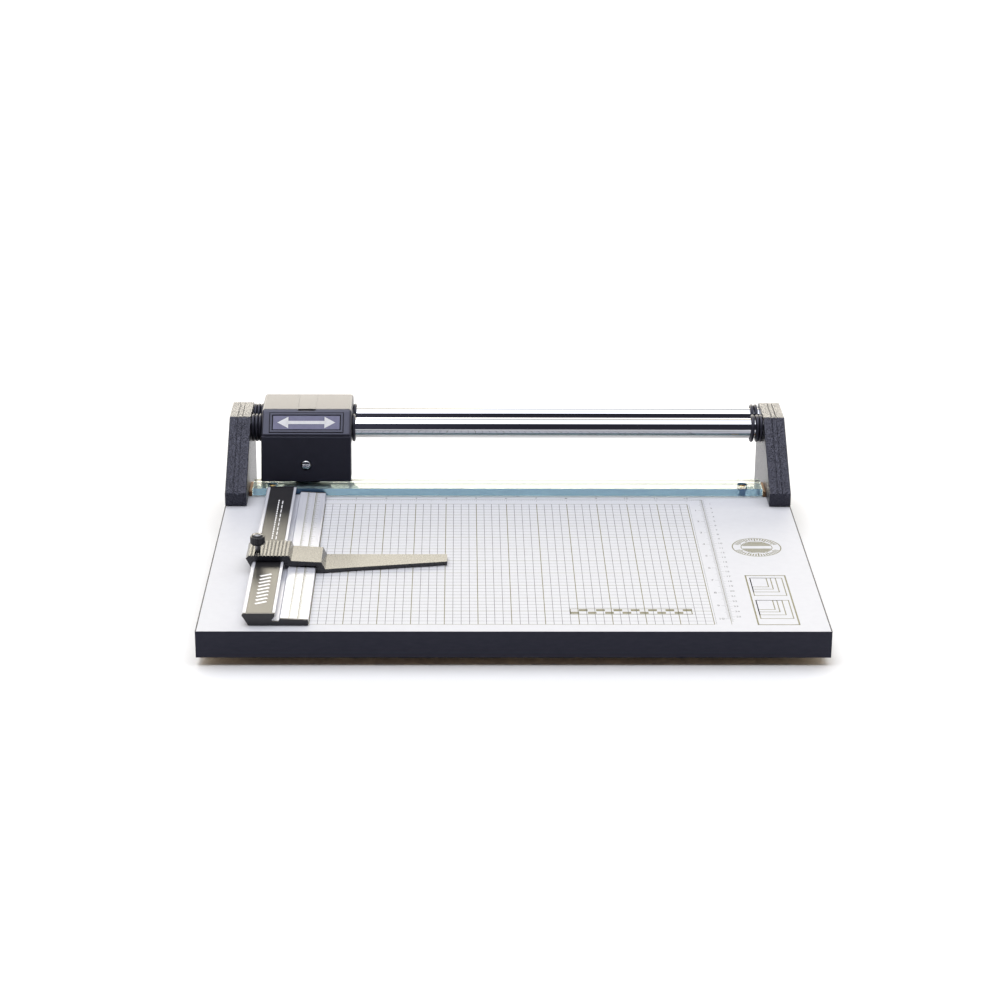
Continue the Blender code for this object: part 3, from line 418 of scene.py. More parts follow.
outline_of_ink(marks, chart_left, chart_front, chart_right, chart_back, CHART_LINE)
for top in (chart_back - 0.0050, chart_front + 0.0470):
    for shrink in range(4):
        size = SHEET_LENGTH * 0.80**shrink
        left = chart_left + 0.0030
        outline_of_ink(marks, left, top - size * 1.414, left + size, top, SHEET_LINE)
bar_left, bar_front = grid_left + 0.0829, grid_front + 0.0196
BLOCK, BLOCK_DEPTH, BLOCK_GAP, BAR_STEPS = 0.0066, 0.0050, 0.0009, 14
for step in range(BAR_STEPS):
    left, front = bar_left + step * BLOCK, bar_front + (step % 2) * BLOCK_DEPTH
    printed(marks, left, front + BLOCK_GAP, left + BLOCK, front + BLOCK_DEPTH - BLOCK_GAP)
bar_right, bar_back = bar_left + BAR_STEPS * BLOCK, bar_front + 2 * BLOCK_DEPTH
outline_of_ink(marks, bar_left, bar_front, bar_right, bar_back, SHEET_LINE)
as_piece(marks, "printed_marks", heavy_ink, "base")

# Feet: four moulded rubber pads with a shallow taper, pressed onto the underside near the corners.


def spun(bm, steps):
    """Spins an outline that lies in the XZ plane once round the Z axis."""
    bmesh.ops.spin(
        bm, geom=bm.verts[:] + bm.edges[:], angle=2 * math.pi, steps=steps, axis=(0, 0, 1),
        cent=(0, 0, 0), use_merge=True
    )
    bmesh.ops.remove_doubles(bm, verts=bm.verts, dist=1e-6)


def turned(profile, place, direction, steps=64, closed=False):
    """A body of revolution: profile is (radius, height) points, heights run along direction from place."""
    bm = bmesh.new()
    points = [bm.verts.new((radius, 0.0, height)) for radius, height in profile]
    for start, end in zip(points, points[1:]):
        bm.edges.new((start, end))
    if closed:
        bm.edges.new((points[-1], points[0]))
    spun(bm, steps)
    turn = Vector((0, 0, 1)).rotation_difference(Vector(direction)).to_matrix().to_4x4()
    bmesh.ops.transform(bm, matrix=Matrix.Translation(place) @ turn, verts=bm.verts)
    bmesh.ops.recalc_face_normals(bm, faces=bm.faces)
    return bm


rubber = finish(
    "black_rubber", ((0.016, 0.016, 0.024), (0.028, 0.028, 0.038)), (0.38, 0.55), grain=0.0006,
    bump=0.00001, sheen_colour=COOL
)
for end in ("front", "rear"):
    for side in ("left", "right"):
        node = f"foot_{end}_{side}"
        low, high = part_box(node)
        middle, height, radius = (low + high) / 2, high.z, (high.x - low.x) / 2
        profile = [
            (0.0, 0.0012), (0.0042, 0.0012), (0.0048, 0.0), (radius * 0.80, 0.0),
            (radius * 0.84, 0.0003), (radius * 0.90, 0.0012), (radius - 0.0002, height - 0.0006),
            (radius, height), (0.0, height),
        ]
        pad = turned(profile, (middle.x, middle.y, 0.0), (0, 0, 1))
        as_piece(pad, f"rubber_{node}", rubber, "base", [node], smooth=35)

# End frames: two aluminium castings in a hard black paint with a hammered grain. Each has two grooves down
# its slope and over its top, holds both rails in blind seats, and is bolted down through the board.


def soften(bm, width, segments, least, clamp=False):
    """Rounds every edge sharper than least degrees."""
    bmesh.ops.bevel(
        bm,
        geom=[e for e in bm.edges if e.is_manifold and e.calc_face_angle() > math.radians(least)],
        offset=width,
        offset_type="OFFSET",
        affect="EDGES",
        segments=segments,
        profile=0.5,
        material=-1,
        clamp_overlap=clamp,
    )


def oblong(left, bottom, right, top):
    """The four corners of an upright rectangle."""
    return [(left, bottom), (left, top), (right, top), (right, bottom)]


def slab(points, low, high, across="x", edge=0.0, segments=3):
    """A plate cut to an outline in the other two axes, from low to high across, with softened edges."""
    bm = bmesh.new()
    corners = []
    for first, second in points:
        place = {"x": (low, first, second), "y": (first, low, second), "z": (first, second, low)}[across]
        corners.append(bm.verts.new(place))
    face = bm.faces.new(corners)
    grown(bm, [face], [high - low if axis == across else 0 for axis in "xyz"])
    bmesh.ops.recalc_face_normals(bm, faces=bm.faces)
    if edge:
        soften(bm, edge, segments, 25)
    return bm


def carved(bm, cutters):
    """The mesh with each cutter taken out of it."""
    holder = bpy.data.objects.new("carving", bpy.data.meshes.new("carving"))
    bm.to_mesh(holder.data)
    bm.free()
    scene.collection.objects.link(holder)
    tools = []
    for cutter in cutters:
        tool = bpy.data.objects.new("cutter", bpy.data.meshes.new("cutter"))
        cutter.to_mesh(tool.data)
        cutter.free()
        scene.collection.objects.link(tool)
        tools.append(tool)
        step = holder.modifiers.new("cut", "BOOLEAN")
        step.operation = "DIFFERENCE"
        step.solver = "EXACT"
        step.object = tool
    shape = as_made(holder)
    result = bmesh.new()
    result.from_mesh(shape)
    bmesh.ops.remove_doubles(result, verts=result.verts, dist=1e-6)
    for obj in [holder, *tools]:
        mesh = obj.data
        bpy.data.objects.remove(obj)
        bpy.data.meshes.remove(mesh)
    bpy.data.meshes.remove(shape)
    return result


def arc(centre, radius, start, end, steps):
    """Points round a centre, from one angle to another in degrees."""
    angles = (math.radians(start + (end - start) * i / steps) for i in range(steps + 1))
    return [(centre[0] + radius * math.cos(a), centre[1] + radius * math.sin(a)) for a in angles]


def bore(radius, low, high):
    """The profile of a plain round hole, from one height to another."""
    return [(0.0, low), (radius, low), (radius, high), (0.0, high)]


def make_hammered(name, colours, roughness, size, depth):
    """Paint that has drawn up into small pits and ridges as it dried."""
    material = finish(
        name, colours, roughness, grain=size * 0.35, bump=depth * 0.35, specular=0.70, sheen_colour=COOL
    )
    tree = material.node_tree
    shader = tree.nodes["Principled BSDF"]
    place = tree.nodes.new("ShaderNodeTexCoord")
    pits = tree.nodes.new("ShaderNodeTexVoronoi")
    pits.feature = "SMOOTH_F1"
    pits.inputs["Scale"].default_value = 1.0 / size
    pits.inputs["Smoothness"].default_value = 0.6
    tree.links.new(place.outputs["Object"], pits.inputs["Vector"])
    pitted = tree.nodes.new("ShaderNodeBump")
    pitted.inputs["Distance"].default_value = depth
    tree.links.new(pits.outputs["Distance"], pitted.inputs["Height"])
    tree.links.new(tree.nodes["relief"].outputs["Normal"], pitted.inputs["Normal"])
    tree.links.new(pitted.outputs["Normal"], shader.inputs["Normal"])
    return material


frame_paint = make_hammered(
    "hammered_black_paint", ((0.008, 0.008, 0.012), (0.012, 0.012, 0.018)), (0.24, 0.34), 0.0013, 0.00080
)
board_back = board_high.y
rail_low, rail_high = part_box("front_rail")
rear_low, rear_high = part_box("rear_rail")
rail_radius = (rail_high.z - rail_low.z) / 2
rail_z = (rail_high.z + rail_low.z) / 2
rail_ys = {"front": (rail_low.y + rail_high.y) / 2, "rear": (rear_low.y + rear_high.y) / 2}
CORNER, TOE, FRAME_EDGE = 0.0064, 0.0115, 0.0008
GROOVE_PLACES, GROOVE_WIDTH, GROOVE_DEPTH, CLEAR = (0.39, 0.60), 0.0010, 0.0008, 0.004
PLAY, SCREW_HOLE, SCREW_DRILLING = 0.0003, 0.0033, 0.0150
shoulder = rail_ys["front"] - rail_radius + 0.0032
for side, sign in (("left", -1), ("right", 1)):
    low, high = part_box(f"{side}_end_frame")
    side_view = [
        (low.y, board_high.z + PLAY), (low.y, board_high.z + TOE), (shoulder, high.z),
        *arc((high.y - CORNER, high.z - CORNER), CORNER, 90, 0, 8), (high.y, low.z),
        (board_back + PLAY, low.z), (board_back + PLAY, board_high.z - 0.0013),
        (board_back + 0.0013, board_high.z + 0.0013), (board_back - 0.0013, board_high.z + PLAY),
    ]
    rough = slab(side_view, low.x, high.x, edge=FRAME_EDGE)
    tools = []
    slope = Vector((shoulder - low.y, high.z - board_high.z - TOE)).normalized()
    inward = Vector((slope.y, -slope.x))
    toe = Vector((low.y, board_high.z + TOE))
    knee = Vector((shoulder, high.z))
    for share in GROOVE_PLACES:
        x = low.x + (high.x - low.x) * share
        path = [
            toe - slope * CLEAR + inward * GROOVE_DEPTH,
            knee + Vector((0.0003, -GROOVE_DEPTH)),
            Vector((high.y + CLEAR, high.z - GROOVE_DEPTH)), Vector((high.y + CLEAR, high.z + CLEAR)),
            Vector((knee.x - 0.001, high.z + CLEAR)),
            toe - slope * CLEAR - inward * CLEAR,
        ]
        tools.append(slab(path, x - GROOVE_WIDTH / 2, x + GROOVE_WIDTH / 2))
    outer = high.x if sign > 0 else low.x
    inner = low.x if sign > 0 else high.x
    for end, y in rail_ys.items():
        tools.append(turned(bore(rail_radius + PLAY, -0.01, 0.006), (inner, y, rail_z), (sign, 0, 0)))
        tools.append(turned(bore(0.0056, -0.01, 0.0064), (outer, y, rail_z), (-sign, 0, 0)))
        tools.append(turned(bore(SCREW_HOLE, 0.005, 0.014), (inner, y, rail_z), (sign, 0, 0), steps=32))
    casting = carved(rough, tools)
    piece = f"painted_{side}_end_frame"
    as_piece(casting, piece, frame_paint, "base", [f"{side}_end_frame"], smooth=32)

# Screws and bolts: bright steel cap screws, their sockets drawn round, hold the rails in their seats from
# outside, and the frames from under the board; plain screws hold the knife and the ruler.

steel = finish(
    "screw_steel", ((0.52, 0.52, 0.53), (0.66, 0.66, 0.67)), (0.20, 0.34), metallic=1.0, grain=0.0005
)
dress(steel, *[name for name in nodes if "screw" in name or "bolt" in name])


def capped(node, outward, head, head_height):
    """A cap screw in a CAD screw's place: its head's rounded edge, a round socket and a plain shank."""
    low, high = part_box(node)
    middle = (low + high) / 2
    way = Vector(outward)
    reach = max((high - low).dot(Vector([abs(c) for c in way])), 0.0)
    tip = middle + way * reach / 2
    shank = head * 0.6
    profile = [
        (0.0, -head_height * 0.55), (head * 0.50, -head_height * 0.55), (head * 0.50, -0.0002),
        (head * 0.54, 0.0), (head - 0.0005, 0.0), (head - 0.0001, -0.0002), (head, -0.0006),
        (head, -head_height), (shank, -head_height), (shank, -reach + 0.0004), (shank - 0.0004, -reach),
        (0.0, -reach),
    ]
    return turned(profile, tip, outward, steps=48)


for side, sign in (("left", -1), ("right", 1)):
    for end in ("front", "rear"):
        for kind, outward, head, head_height in (
            ("rail_screw", (sign, 0, 0), 0.0050, 0.0058), ("frame_bolt", (0, 0, -1), 0.0048, 0.0040),
        ):
            node = f"{kind}_{side}_{end}"
            screw = capped(node, outward, head, head_height)
            as_piece(screw, f"bright_{node}", steel, "base", [node], smooth=35)

# Guide rails: two ground steel bars, hard-chromed to a mirror, with chamfered ends drilled for the screws.

chrome = finish(
    "hard_chrome", ((0.50, 0.51, 0.55), (0.54, 0.55, 0.58)), (0.012, 0.035), metallic=1.0, grain=0.0009,
    stretch=(0.05, 1.0, 1.0)
)
rail_half, CHAMFER = rail_high.x, 0.0008
for end, y in rail_ys.items():
    profile = [
        (0.0, rail_half - SCREW_DRILLING), (SCREW_HOLE, rail_half - SCREW_DRILLING),
        (SCREW_HOLE, rail_half), (rail_radius - CHAMFER, rail_half), (rail_radius, rail_half - CHAMFER),
        (rail_radius, CHAMFER - rail_half), (rail_radius - CHAMFER, -rail_half),
        (SCREW_HOLE, -rail_half), (SCREW_HOLE, SCREW_DRILLING - rail_half),
        (0.0, SCREW_DRILLING - rail_half),
    ]
    bar = turned(profile, (0.0, y, rail_z), (1, 0, 0), steps=160)
    as_piece(bar, f"chromed_{end}_rail", chrome, "base", [f"{end}_rail"], smooth=30)

# Rubber rings: round-section rings pushed along both rails, as buffers at each end, and one wiper on each
# rail against the head.

RING_SECTION = 0.0014
ring_names = [name for name in nodes if name.startswith("ring_")]
for node in [*ring_names, "head_ring_front", "head_ring_rear"]:
    low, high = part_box(node)
    middle = (low + high) / 2
    lean = math.radians(3) if node.endswith("front_3") and "right" in node else 0.0
    torus = bmesh.new()
    bmesh.ops.create_circle(torus, segments=20, radius=RING_SECTION)
    bmesh.ops.rotate(torus, verts=torus.verts, matrix=Matrix.Rotation(math.pi / 2, 3, "X"))
    bmesh.ops.translate(torus, verts=torus.verts, vec=((high.z - low.z) / 2 - RING_SECTION, 0, 0))
    spun(torus, 72)
    turn = Matrix.Rotation(math.pi / 2 + lean, 4, "Y")
    bmesh.ops.transform(torus, matrix=Matrix.Translation(middle) @ turn, verts=torus.verts)
    bmesh.ops.recalc_face_normals(torus, faces=torus.faces)
    body = "head" if node.startswith("head") else "base"
    as_piece(torus, f"rubber_{node}", rubber, body, [node], smooth=60)

# Counter knife: a hardened steel bar, surface-ground along its length, screwed to the board's back edge.

ground_steel = finish(
    "ground_steel", ((0.50, 0.51, 0.52), (0.64, 0.65, 0.66)), (0.16, 0.36), metallic=1.0, grain=0.00025,
    bump=0.000004, stretch=(0.02, 1.0, 1.0)
)
dress(ground_steel, "counter_knife")

# Clamp strip: a bar of clear acrylic, sawn and polished, a little blue through its edge. It is held just
# above the board on springs by two brass shoulder screws, sunk into it.


def clear(name, colour, roughness, clarity=1.0, bending=1.49):
    """Clear plastic, with the faintest unevenness of its polish."""
    paler = tuple(c * 0.97 for c in colour)
    material = finish(name, (colour, paler), roughness, grain=0.0025)
    shader = material.node_tree.nodes["Principled BSDF"]
    shader.inputs["Transmission Weight"].default_value = clarity
    shader.inputs["IOR"].default_value = bending
    return material


strip_face = clear("clear_acrylic", (0.60, 0.71, 0.70), (0.02, 0.05), bending=1.24)
strip_edge = clear("acrylic_edge", (0.10, 0.22, 0.38), (0.14, 0.22), clarity=0.12)
strip_low, strip_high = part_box("clamp_strip")
side_view = oblong(strip_low.y, strip_low.z, strip_high.y, strip_high.z)
bar = slab(side_view, strip_low.x, strip_high.x, edge=0.0004, segments=2)
holes = []
for side in ("left", "right"):
    low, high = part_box(f"strip_screw_{side}")
    x, y = (low.x + high.x) / 2, (low.y + high.y) / 2
    sink = (high.x - low.x) / 2 + PLAY
    seat = strip_low.z + 0.0027
    profile = [
        (0.0, strip_low.z - 0.01), (0.0028, strip_low.z - 0.01), (0.0028, seat), (sink, seat),
        (sink, 0.05), (0.0, 0.05),
    ]
    holes.append(turned(profile, (x, y, 0.0), (0, 0, 1), steps=48))
bar = carved(bar, holes)
strip = as_piece(bar, "acrylic_clamp_strip", strip_face, "clamp_strip", ["clamp_strip"], 35)
strip.data.materials.append(strip_edge)
for face in strip.data.polygons:
    if face.normal.y < -0.5:
        face.material_index = 1

brass = finish(
    "turned_brass", ((0.72, 0.44, 0.16), (0.83, 0.55, 0.24)), (0.22, 0.36), metallic=1.0, grain=0.0005
)
SLOT_WIDTH, SLOT_DEPTH = 0.0011, 0.0010
SPRING_POCKET, NECK, SHANK = 0.0055, 0.0025, 0.0018


def slotted(bm, middle, turn, length, width=SLOT_WIDTH):
    """Cuts a driver slot across a screw head: middle is its floor's middle, and turn points it."""
    cutter = bmesh.new()
    block(cutter, (0, 0, 0.003), (length, width, 0.006))
    bmesh.ops.transform(cutter, matrix=Matrix.Translation(middle) @ turn, verts=cutter.verts)
    return carved(bm, [cutter])


for side in ("left", "right"):
    node = f"strip_screw_{side}"
    low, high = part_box(node)
    x, y, head = (low.x + high.x) / 2, (low.y + high.y) / 2, (high.x - low.x) / 2
    seat = strip_low.z + 0.0030
    neck = board_high.z - SPRING_POCKET + PLAY
    profile = [
        (0.0, high.z), (head - 0.0007, high.z), (head - 0.0002, high.z - 0.0002),
        (head, high.z - 0.0006), (head, seat), (NECK, seat), (NECK, neck), (SHANK, neck), (SHANK, low.z),
        (0.0, low.z),
    ]
    screw = turned(profile, (x, y, 0.0), (0, 0, 1), steps=56)
    screw = slotted(screw, (x, y, high.z - SLOT_DEPTH), Matrix.Rotation(math.radians(25), 4, "Z"), 0.0096)
    as_piece(screw, f"brass_{node}", brass, "base", [node], smooth=35)

# Guides and springs: a small bronze guide at each end of the clamp strip, and two short coils of steel wire
# in pockets of the board, which lift the strip.

bronze = finish(
    "bronze", ((0.20, 0.115, 0.065), (0.32, 0.19, 0.11)), (0.35, 0.55), metallic=1.0, grain=0.0006,
    bump=0.00001
)
dress(bronze, "strip_guide_left", "strip_guide_right")
spring_steel = finish(
    "spring_steel", ((0.34, 0.34, 0.36), (0.48, 0.48, 0.50)), (0.22, 0.34), metallic=1.0, grain=0.0004
)
dress(spring_steel, "blade_spring")
for side in ("left", "right"):
    node = f"strip_spring_{side}"
    low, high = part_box(node)
    coil = bmesh.new()
    coil.from_mesh(nodes[node].data)
    bmesh.ops.remove_doubles(coil, verts=coil.verts, dist=1e-6)
    name = f"{side}_strip_spring_coil"
    spring = as_piece(coil, name, spring_steel, "base", [node], smooth=40)
    height = high.z - low.z
    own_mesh(spring)

# Ruler: an extruded, satin-anodised bar screwed to the board. Its high rib carries a printed black
# insert, a channel runs beside it, and its low lip has a printed scale.

anodised = finish(
    "satin_anodised", ((0.56, 0.57, 0.63), (0.64, 0.65, 0.70)), (0.34, 0.46), metallic=0.35,
    grain=0.0003, bump=0.000003, stretch=(1.0, 0.03, 1.0), specular=0.35
)
bar_low, bar_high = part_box("ruler_extrusion")
insert_low, insert_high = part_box("ruler_insert")
rib_right = bar_low.x + 0.0250
lip_left = rib_right + 0.0037
lip_right = bar_high.x
RIB, LIP, FALL = 0.0099, 0.0056, 0.0010
z = board_high.z
section = [
    (bar_low.x + 0.0048, z + PLAY), (bar_low.x, z + RIB - 0.0015), (bar_low.x + 0.0010, z + RIB),
    (rib_right, z + RIB), (rib_right - 0.0003, z + RIB * 0.75), (rib_right - 0.0026, z + 0.0046),
    (rib_right - 0.0022, z + 0.0034), (lip_left - 0.0010, z + 0.0034), (lip_left, z + LIP),
    (lip_right - 0.0004, z + LIP - FALL), (lip_right, z + LIP - FALL - 0.0004), (lip_right, z + PLAY),
]
bar = slab(section, bar_low.y, bar_high.y, across="y", edge=0.00022, segments=2)
channel = oblong(insert_low.x - PLAY, insert_low.z - PLAY, insert_high.x + PLAY, z + 0.02)
cuts = [slab(channel, bar_low.y - 0.01, bar_high.y + 0.01, across="y")]
for end in ("front", "rear"):
    low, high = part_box(f"ruler_screw_{end}")
    x, y = (low.x + high.x) / 2, (low.y + high.y) / 2
    sink = [(0.0, -0.03), (0.0020, -0.03), (0.0020, -0.0018), (0.0039, 0.0), (0.0039, 0.01), (0.0, 0.01)]
    cuts.append(turned(sink, (x, y, high.z), (0, 0, 1), steps=32))
bar = carved(bar, cuts)
as_piece(bar, "anodised_ruler", anodised, "base", ["ruler_extrusion"], smooth=28)

insert_film = finish(
    "black_insert_film", ((0.010, 0.010, 0.012), (0.016, 0.015, 0.016)), (0.30, 0.36), grain=0.0012,
    bump=0.000002
)
section_view = oblong(insert_low.x, insert_low.z, insert_high.x, insert_high.z)
plate = slab(section_view, insert_low.y, insert_high.y, across="y", edge=0.0001, segments=1)
as_piece(plate, "printed_insert", insert_film, "base", ["ruler_insert"], smooth=28)

white_ink = finish("white_ink", ((0.72, 0.72, 0.74), (0.80, 0.80, 0.82)), (0.4, 0.6), grain=0.0004)
DASHES, DASH_PITCH, DASH_LENGTH, DASH_WIDTH = 18, 0.0050, 0.0034, 0.0010
SLANTS, SLANT_PITCH, SLANT_WIDTH = 9, 0.0068, 0.0026
insert_ink = insert_high.z + 0.000002
dashes = bmesh.new()
insert_x = (insert_low.x + insert_high.x) / 2
for step in range(DASHES):
    x, y = insert_x - 0.0006, insert_low.y + 0.1500 + step * DASH_PITCH
    stroke(dashes, (x, y), (x, y + DASH_LENGTH), DASH_WIDTH, insert_ink)
    if step % 2 == 0:
        x = insert_x + 0.0026
        stroke(dashes, (x, y - 0.001), (x, y + 0.0062), 0.0008, insert_ink)
for step in range(SLANTS):
    y = insert_low.y + 0.0170 + step * SLANT_PITCH
    stroke(dashes, (insert_x - 0.0042, y), (insert_x + 0.0042, y + 0.0046), SLANT_WIDTH, insert_ink)
as_piece(dashes, "insert_marks", white_ink, "base")

RULER_TICKS, TICK_HALF = (0.0040, 0.0028, 0.0016), 0.00016
lip_ink = z + LIP + 0.000003
lip_lines = bmesh.new()
for offset, width in ((0.0062, 0.00026), (0.0128, 0.00044)):
    left = lip_left + offset
    printed(lip_lines, left, bar_low.y, left + width, bar_high.y, lip_ink)
for step in range(int((bar_high.y - bar_low.y) / MILLIMETRE)):
    y = bar_high.y - 0.0005 - step * MILLIMETRE
    length = tick(step, 10, RULER_TICKS)
    for left, share in ((lip_left + 0.0130, 1.0), (lip_left + 0.0064, 0.7)):
        printed(lip_lines, left, y - TICK_HALF, left + length * share, y + TICK_HALF, lip_ink)
shear = Matrix.Identity(4)
shear[2][0] = -FALL / (lip_right - 0.0004 - lip_left)
shear[2][3] = -shear[2][0] * lip_left
bmesh.ops.transform(lip_lines, matrix=shear, verts=lip_lines.verts)
as_piece(lip_lines, "ruler_scale", heavy_ink, "base")

cap_plastic = finish(
    "moulded_cap_plastic", ((0.014, 0.014, 0.019), (0.022, 0.022, 0.030)), (0.32, 0.45), grain=0.0008
)
for end in ("front", "rear"):
    node = f"ruler_cap_{end}"
    low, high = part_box(node)
    cap = slab(section, low.y, high.y, across="y", edge=0.0003, segments=2)
    as_piece(cap, f"moulded_{node}", cap_plastic, "base", [node], smooth=32)

# Paper stop: an extruded, black-anodised saddle that slides along the ruler's rib, ribbed for the
# fingers, with a long tapered arm along the board.


def refined(node, width):
    """A merged copy of a CAD node, its flats made whole and its edges rounded by width."""
    bm = bmesh.new()
    bm.from_mesh(nodes[node].data)
    bmesh.ops.remove_doubles(bm, verts=bm.verts, dist=1e-6)
    bmesh.ops.dissolve_limit(bm, angle_limit=math.radians(1.0), verts=bm.verts, edges=bm.edges)
    soften(bm, width, 2, 24, clamp=True)
    return bm


stop_paint = finish(
    "black_anodised", ((0.013, 0.013, 0.018), (0.021, 0.021, 0.028)), (0.22, 0.32), grain=0.0003,
    bump=0.000004, stretch=(1.0, 0.05, 1.0), specular=0.62
)
stop = refined("paper_stop", 0.00022)
as_piece(stop, "anodised_paper_stop", stop_paint, "paper_stop", ["paper_stop"], smooth=28)

# Lock knob: a moulded black knob with ridges round it, pressed on a steel screw whose slotted, slightly
# domed head shows on top.

knob_plastic = finish(
    "moulded_knob_plastic", ((0.012, 0.012, 0.016), (0.020, 0.020, 0.026)), (0.30, 0.42), grain=0.0006
)
low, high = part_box("lock_knob")
knob_middle = (low + high) / 2
knob_radius, knob_height = (high.x - low.x) / 2, high.z - low.z + 0.0010
rim = knob_radius * 0.78
KNOB_HOLE, KNOB_STEPS, RIDGE_DEPTH = 0.0024, 96, 0.065
profile = [
    (KNOB_HOLE, knob_height - 0.0016), (rim - 0.0006, knob_height - 0.0016),
    (rim - 0.0006, knob_height - 0.0012), (rim - 0.0003, knob_height - 0.0010),
    (rim, knob_height - 0.0012), (rim, knob_height - 0.0021),
    (knob_radius - 0.0005, knob_height - 0.0024), (knob_radius, knob_height - 0.0029),
    (knob_radius, 0.0014), (knob_radius - 0.0003, 0.0010), (rim, 0.0), (KNOB_HOLE, 0.0),
]
knob_foot = (knob_middle.x, knob_middle.y, low.z)
knob = turned(profile, knob_foot, (0, 0, 1), steps=KNOB_STEPS, closed=True)
for vert in knob.verts:
    arm = Vector((vert.co.x - knob_middle.x, vert.co.y - knob_middle.y))
    place = round(math.atan2(arm.y, arm.x) / (2 * math.pi / KNOB_STEPS)) % 4
    if arm.length > knob_radius - 0.0004 and place < 2:
        vert.co.x -= arm.x * RIDGE_DEPTH
        vert.co.y -= arm.y * RIDGE_DEPTH
as_piece(knob, "ridged_lock_knob", knob_plastic, "lock_knob", ["lock_knob"], smooth=30)
low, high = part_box("lock_screw")
head = rim - 0.0009
stem = 0.0021
reach = high.z - low.z
profile = [
    (0.0, reach), (head * 0.35, reach - 0.00006), (head * 0.65, reach - 0.00024),
    (head * 0.88, reach - 0.00052), (head, reach - 0.0009), (head, reach - 0.0013),
    (stem, reach - 0.0013), (stem, 0.0004), (stem - 0.0004, 0.0), (0.0, 0.0),
]
screw = turned(profile, (knob_middle.x, knob_middle.y, low.z), (0, 0, 1), steps=64)
floor = (knob_middle.x, knob_middle.y, high.z - 0.0007)
screw = slotted(screw, floor, Matrix.Rotation(math.radians(-35), 4, "Z"), head * 1.5, 0.0010)
dark_steel = finish(
    "oiled_steel", ((0.16, 0.16, 0.17), (0.25, 0.25, 0.26)), (0.28, 0.42), metallic=1.0, grain=0.0004
)
as_piece(screw, "oiled_lock_screw", dark_steel, "lock_knob", ["lock_screw"], smooth=35)

# Head cover: a moulded hood in satin black, hollow below, that closes over the carriage and both rails.
# Its sloping front carries a framed plate with a plain mark for the two cutting directions; the two flush
# dark rings either side of the plate's raised rim are painted shade.

head_paint = finish(
    "satin_head_paint", ((0.008, 0.008, 0.012), (0.012, 0.012, 0.018)), (0.36, 0.46), grain=0.0009,
    bump=0.000012, specular=0.85, sheen_colour=COOL
)
cover_low, cover_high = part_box("head_cover")
guard_low, guard_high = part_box("blade_guard")
cover_bottom = guard_high.z + PLAY
WALL, HOOD_CORNER, LEG, HOOD_EDGE = 0.0024, 0.0060, 0.0092, 0.0024
NOTCH, NOTCH_DEPTH, SEAM_DEPTH, ABOVE = 0.0150, 0.0011, 0.00018, 0.002


def hood_view(inset, past):
    """Side view of the cover moved inwards by inset, its open lower edges past where they end."""
    front = cover_low.y + inset * math.sqrt(2)
    corner = HOOD_CORNER - inset
    back = cover_high.y - inset
    top = cover_high.z
    return [
        (front - past, cover_bottom - past), (front + top - cover_bottom - inset, top - inset),
        *arc((back - corner, top - inset - corner), corner, 90, 0, 6), (back, cover_low.z - inset * 2),
        (cover_low.y + LEG + inset, cover_low.z - inset * 2),
    ]


hood = slab(hood_view(0.0, 0.0), cover_low.x, cover_high.x, edge=HOOD_EDGE, segments=6)
tools = [slab(hood_view(WALL, 0.0060), cover_low.x + WALL, cover_high.x - WALL)]
under = oblong(cover_low.y - 0.01, cover_low.z - 0.01, cover_low.y + LEG, cover_bottom)
tools.append(slab(under, cover_low.x - 0.01, cover_high.x + 0.01))
for y in rail_ys.values():
    passage = bore(rail_radius + 0.0009, 0.0, 0.1)
    tools.append(turned(passage, (cover_low.x - 0.01, y, rail_z), (1, 0, 0), steps=96))
head_x = (cover_low.x + cover_high.x) / 2
crest_y = cover_low.y + cover_high.z - cover_bottom
notch = [
    (crest_y - 0.003, cover_high.z - NOTCH_DEPTH), (crest_y + 0.0021, cover_high.z - NOTCH_DEPTH),
    (crest_y + 0.0022, cover_high.z + ABOVE), (crest_y - 0.003, cover_high.z + ABOVE),
]
tools.append(slab(notch, head_x - NOTCH / 2, head_x + NOTCH / 2))
seam_back = cover_high.y - HOOD_CORNER
seam = oblong(crest_y, cover_high.z - SEAM_DEPTH, seam_back, cover_high.z + ABOVE)
tools.append(slab(seam, head_x - NOTCH / 2 - 0.0002, head_x - NOTCH / 2 + 0.0001))
tools.append(slab(seam, head_x + NOTCH / 2 - 0.0001, head_x + NOTCH / 2 + 0.0001))
hood = carved(hood, tools)
as_piece(hood, "painted_head_cover", head_paint, "head", ["head_cover"], smooth=30)

panel_turn = Matrix.Rotation(math.radians(45), 4, "X")
panel_foot = Vector((head_x, cover_low.y, cover_bottom))
PLATE_WIDTH, PLATE_HEIGHT, PLATE_FOOT = 0.0636, 0.0196, 0.0032
plate_place = Matrix.Translation(panel_foot) @ panel_turn @ Matrix.Translation(
    (0, PLATE_FOOT + PLATE_HEIGHT / 2, 0)
)
plate = bmesh.new()
block(plate, (0, 0, -0.00025), (PLATE_WIDTH, PLATE_HEIGHT, 0.0006))
field = [max(plate.faces, key=lambda face: face.calc_center_median().z)]
# Rings inset one inside the next; index 1 marks the two flush dark rings either side of the raised rim,
# painted shade and not grooves.
for thickness, depth, index in (
    (0.0006, 0.0, 1), (0.0002, 0.0005, 0), (0.0016, 0.0, 0), (0.0002, -0.0005, 0), (0.0006, 0.0, 1),
    (0.0002, 0.0002, 0),
):
    made = bmesh.ops.inset_region(plate, faces=field, thickness=thickness, depth=depth, use_even_offset=True)
    for face in made["faces"]:
        face.material_index = index
for face in field:
    face.material_index = 2
bmesh.ops.transform(plate, matrix=plate_place, verts=plate.verts)
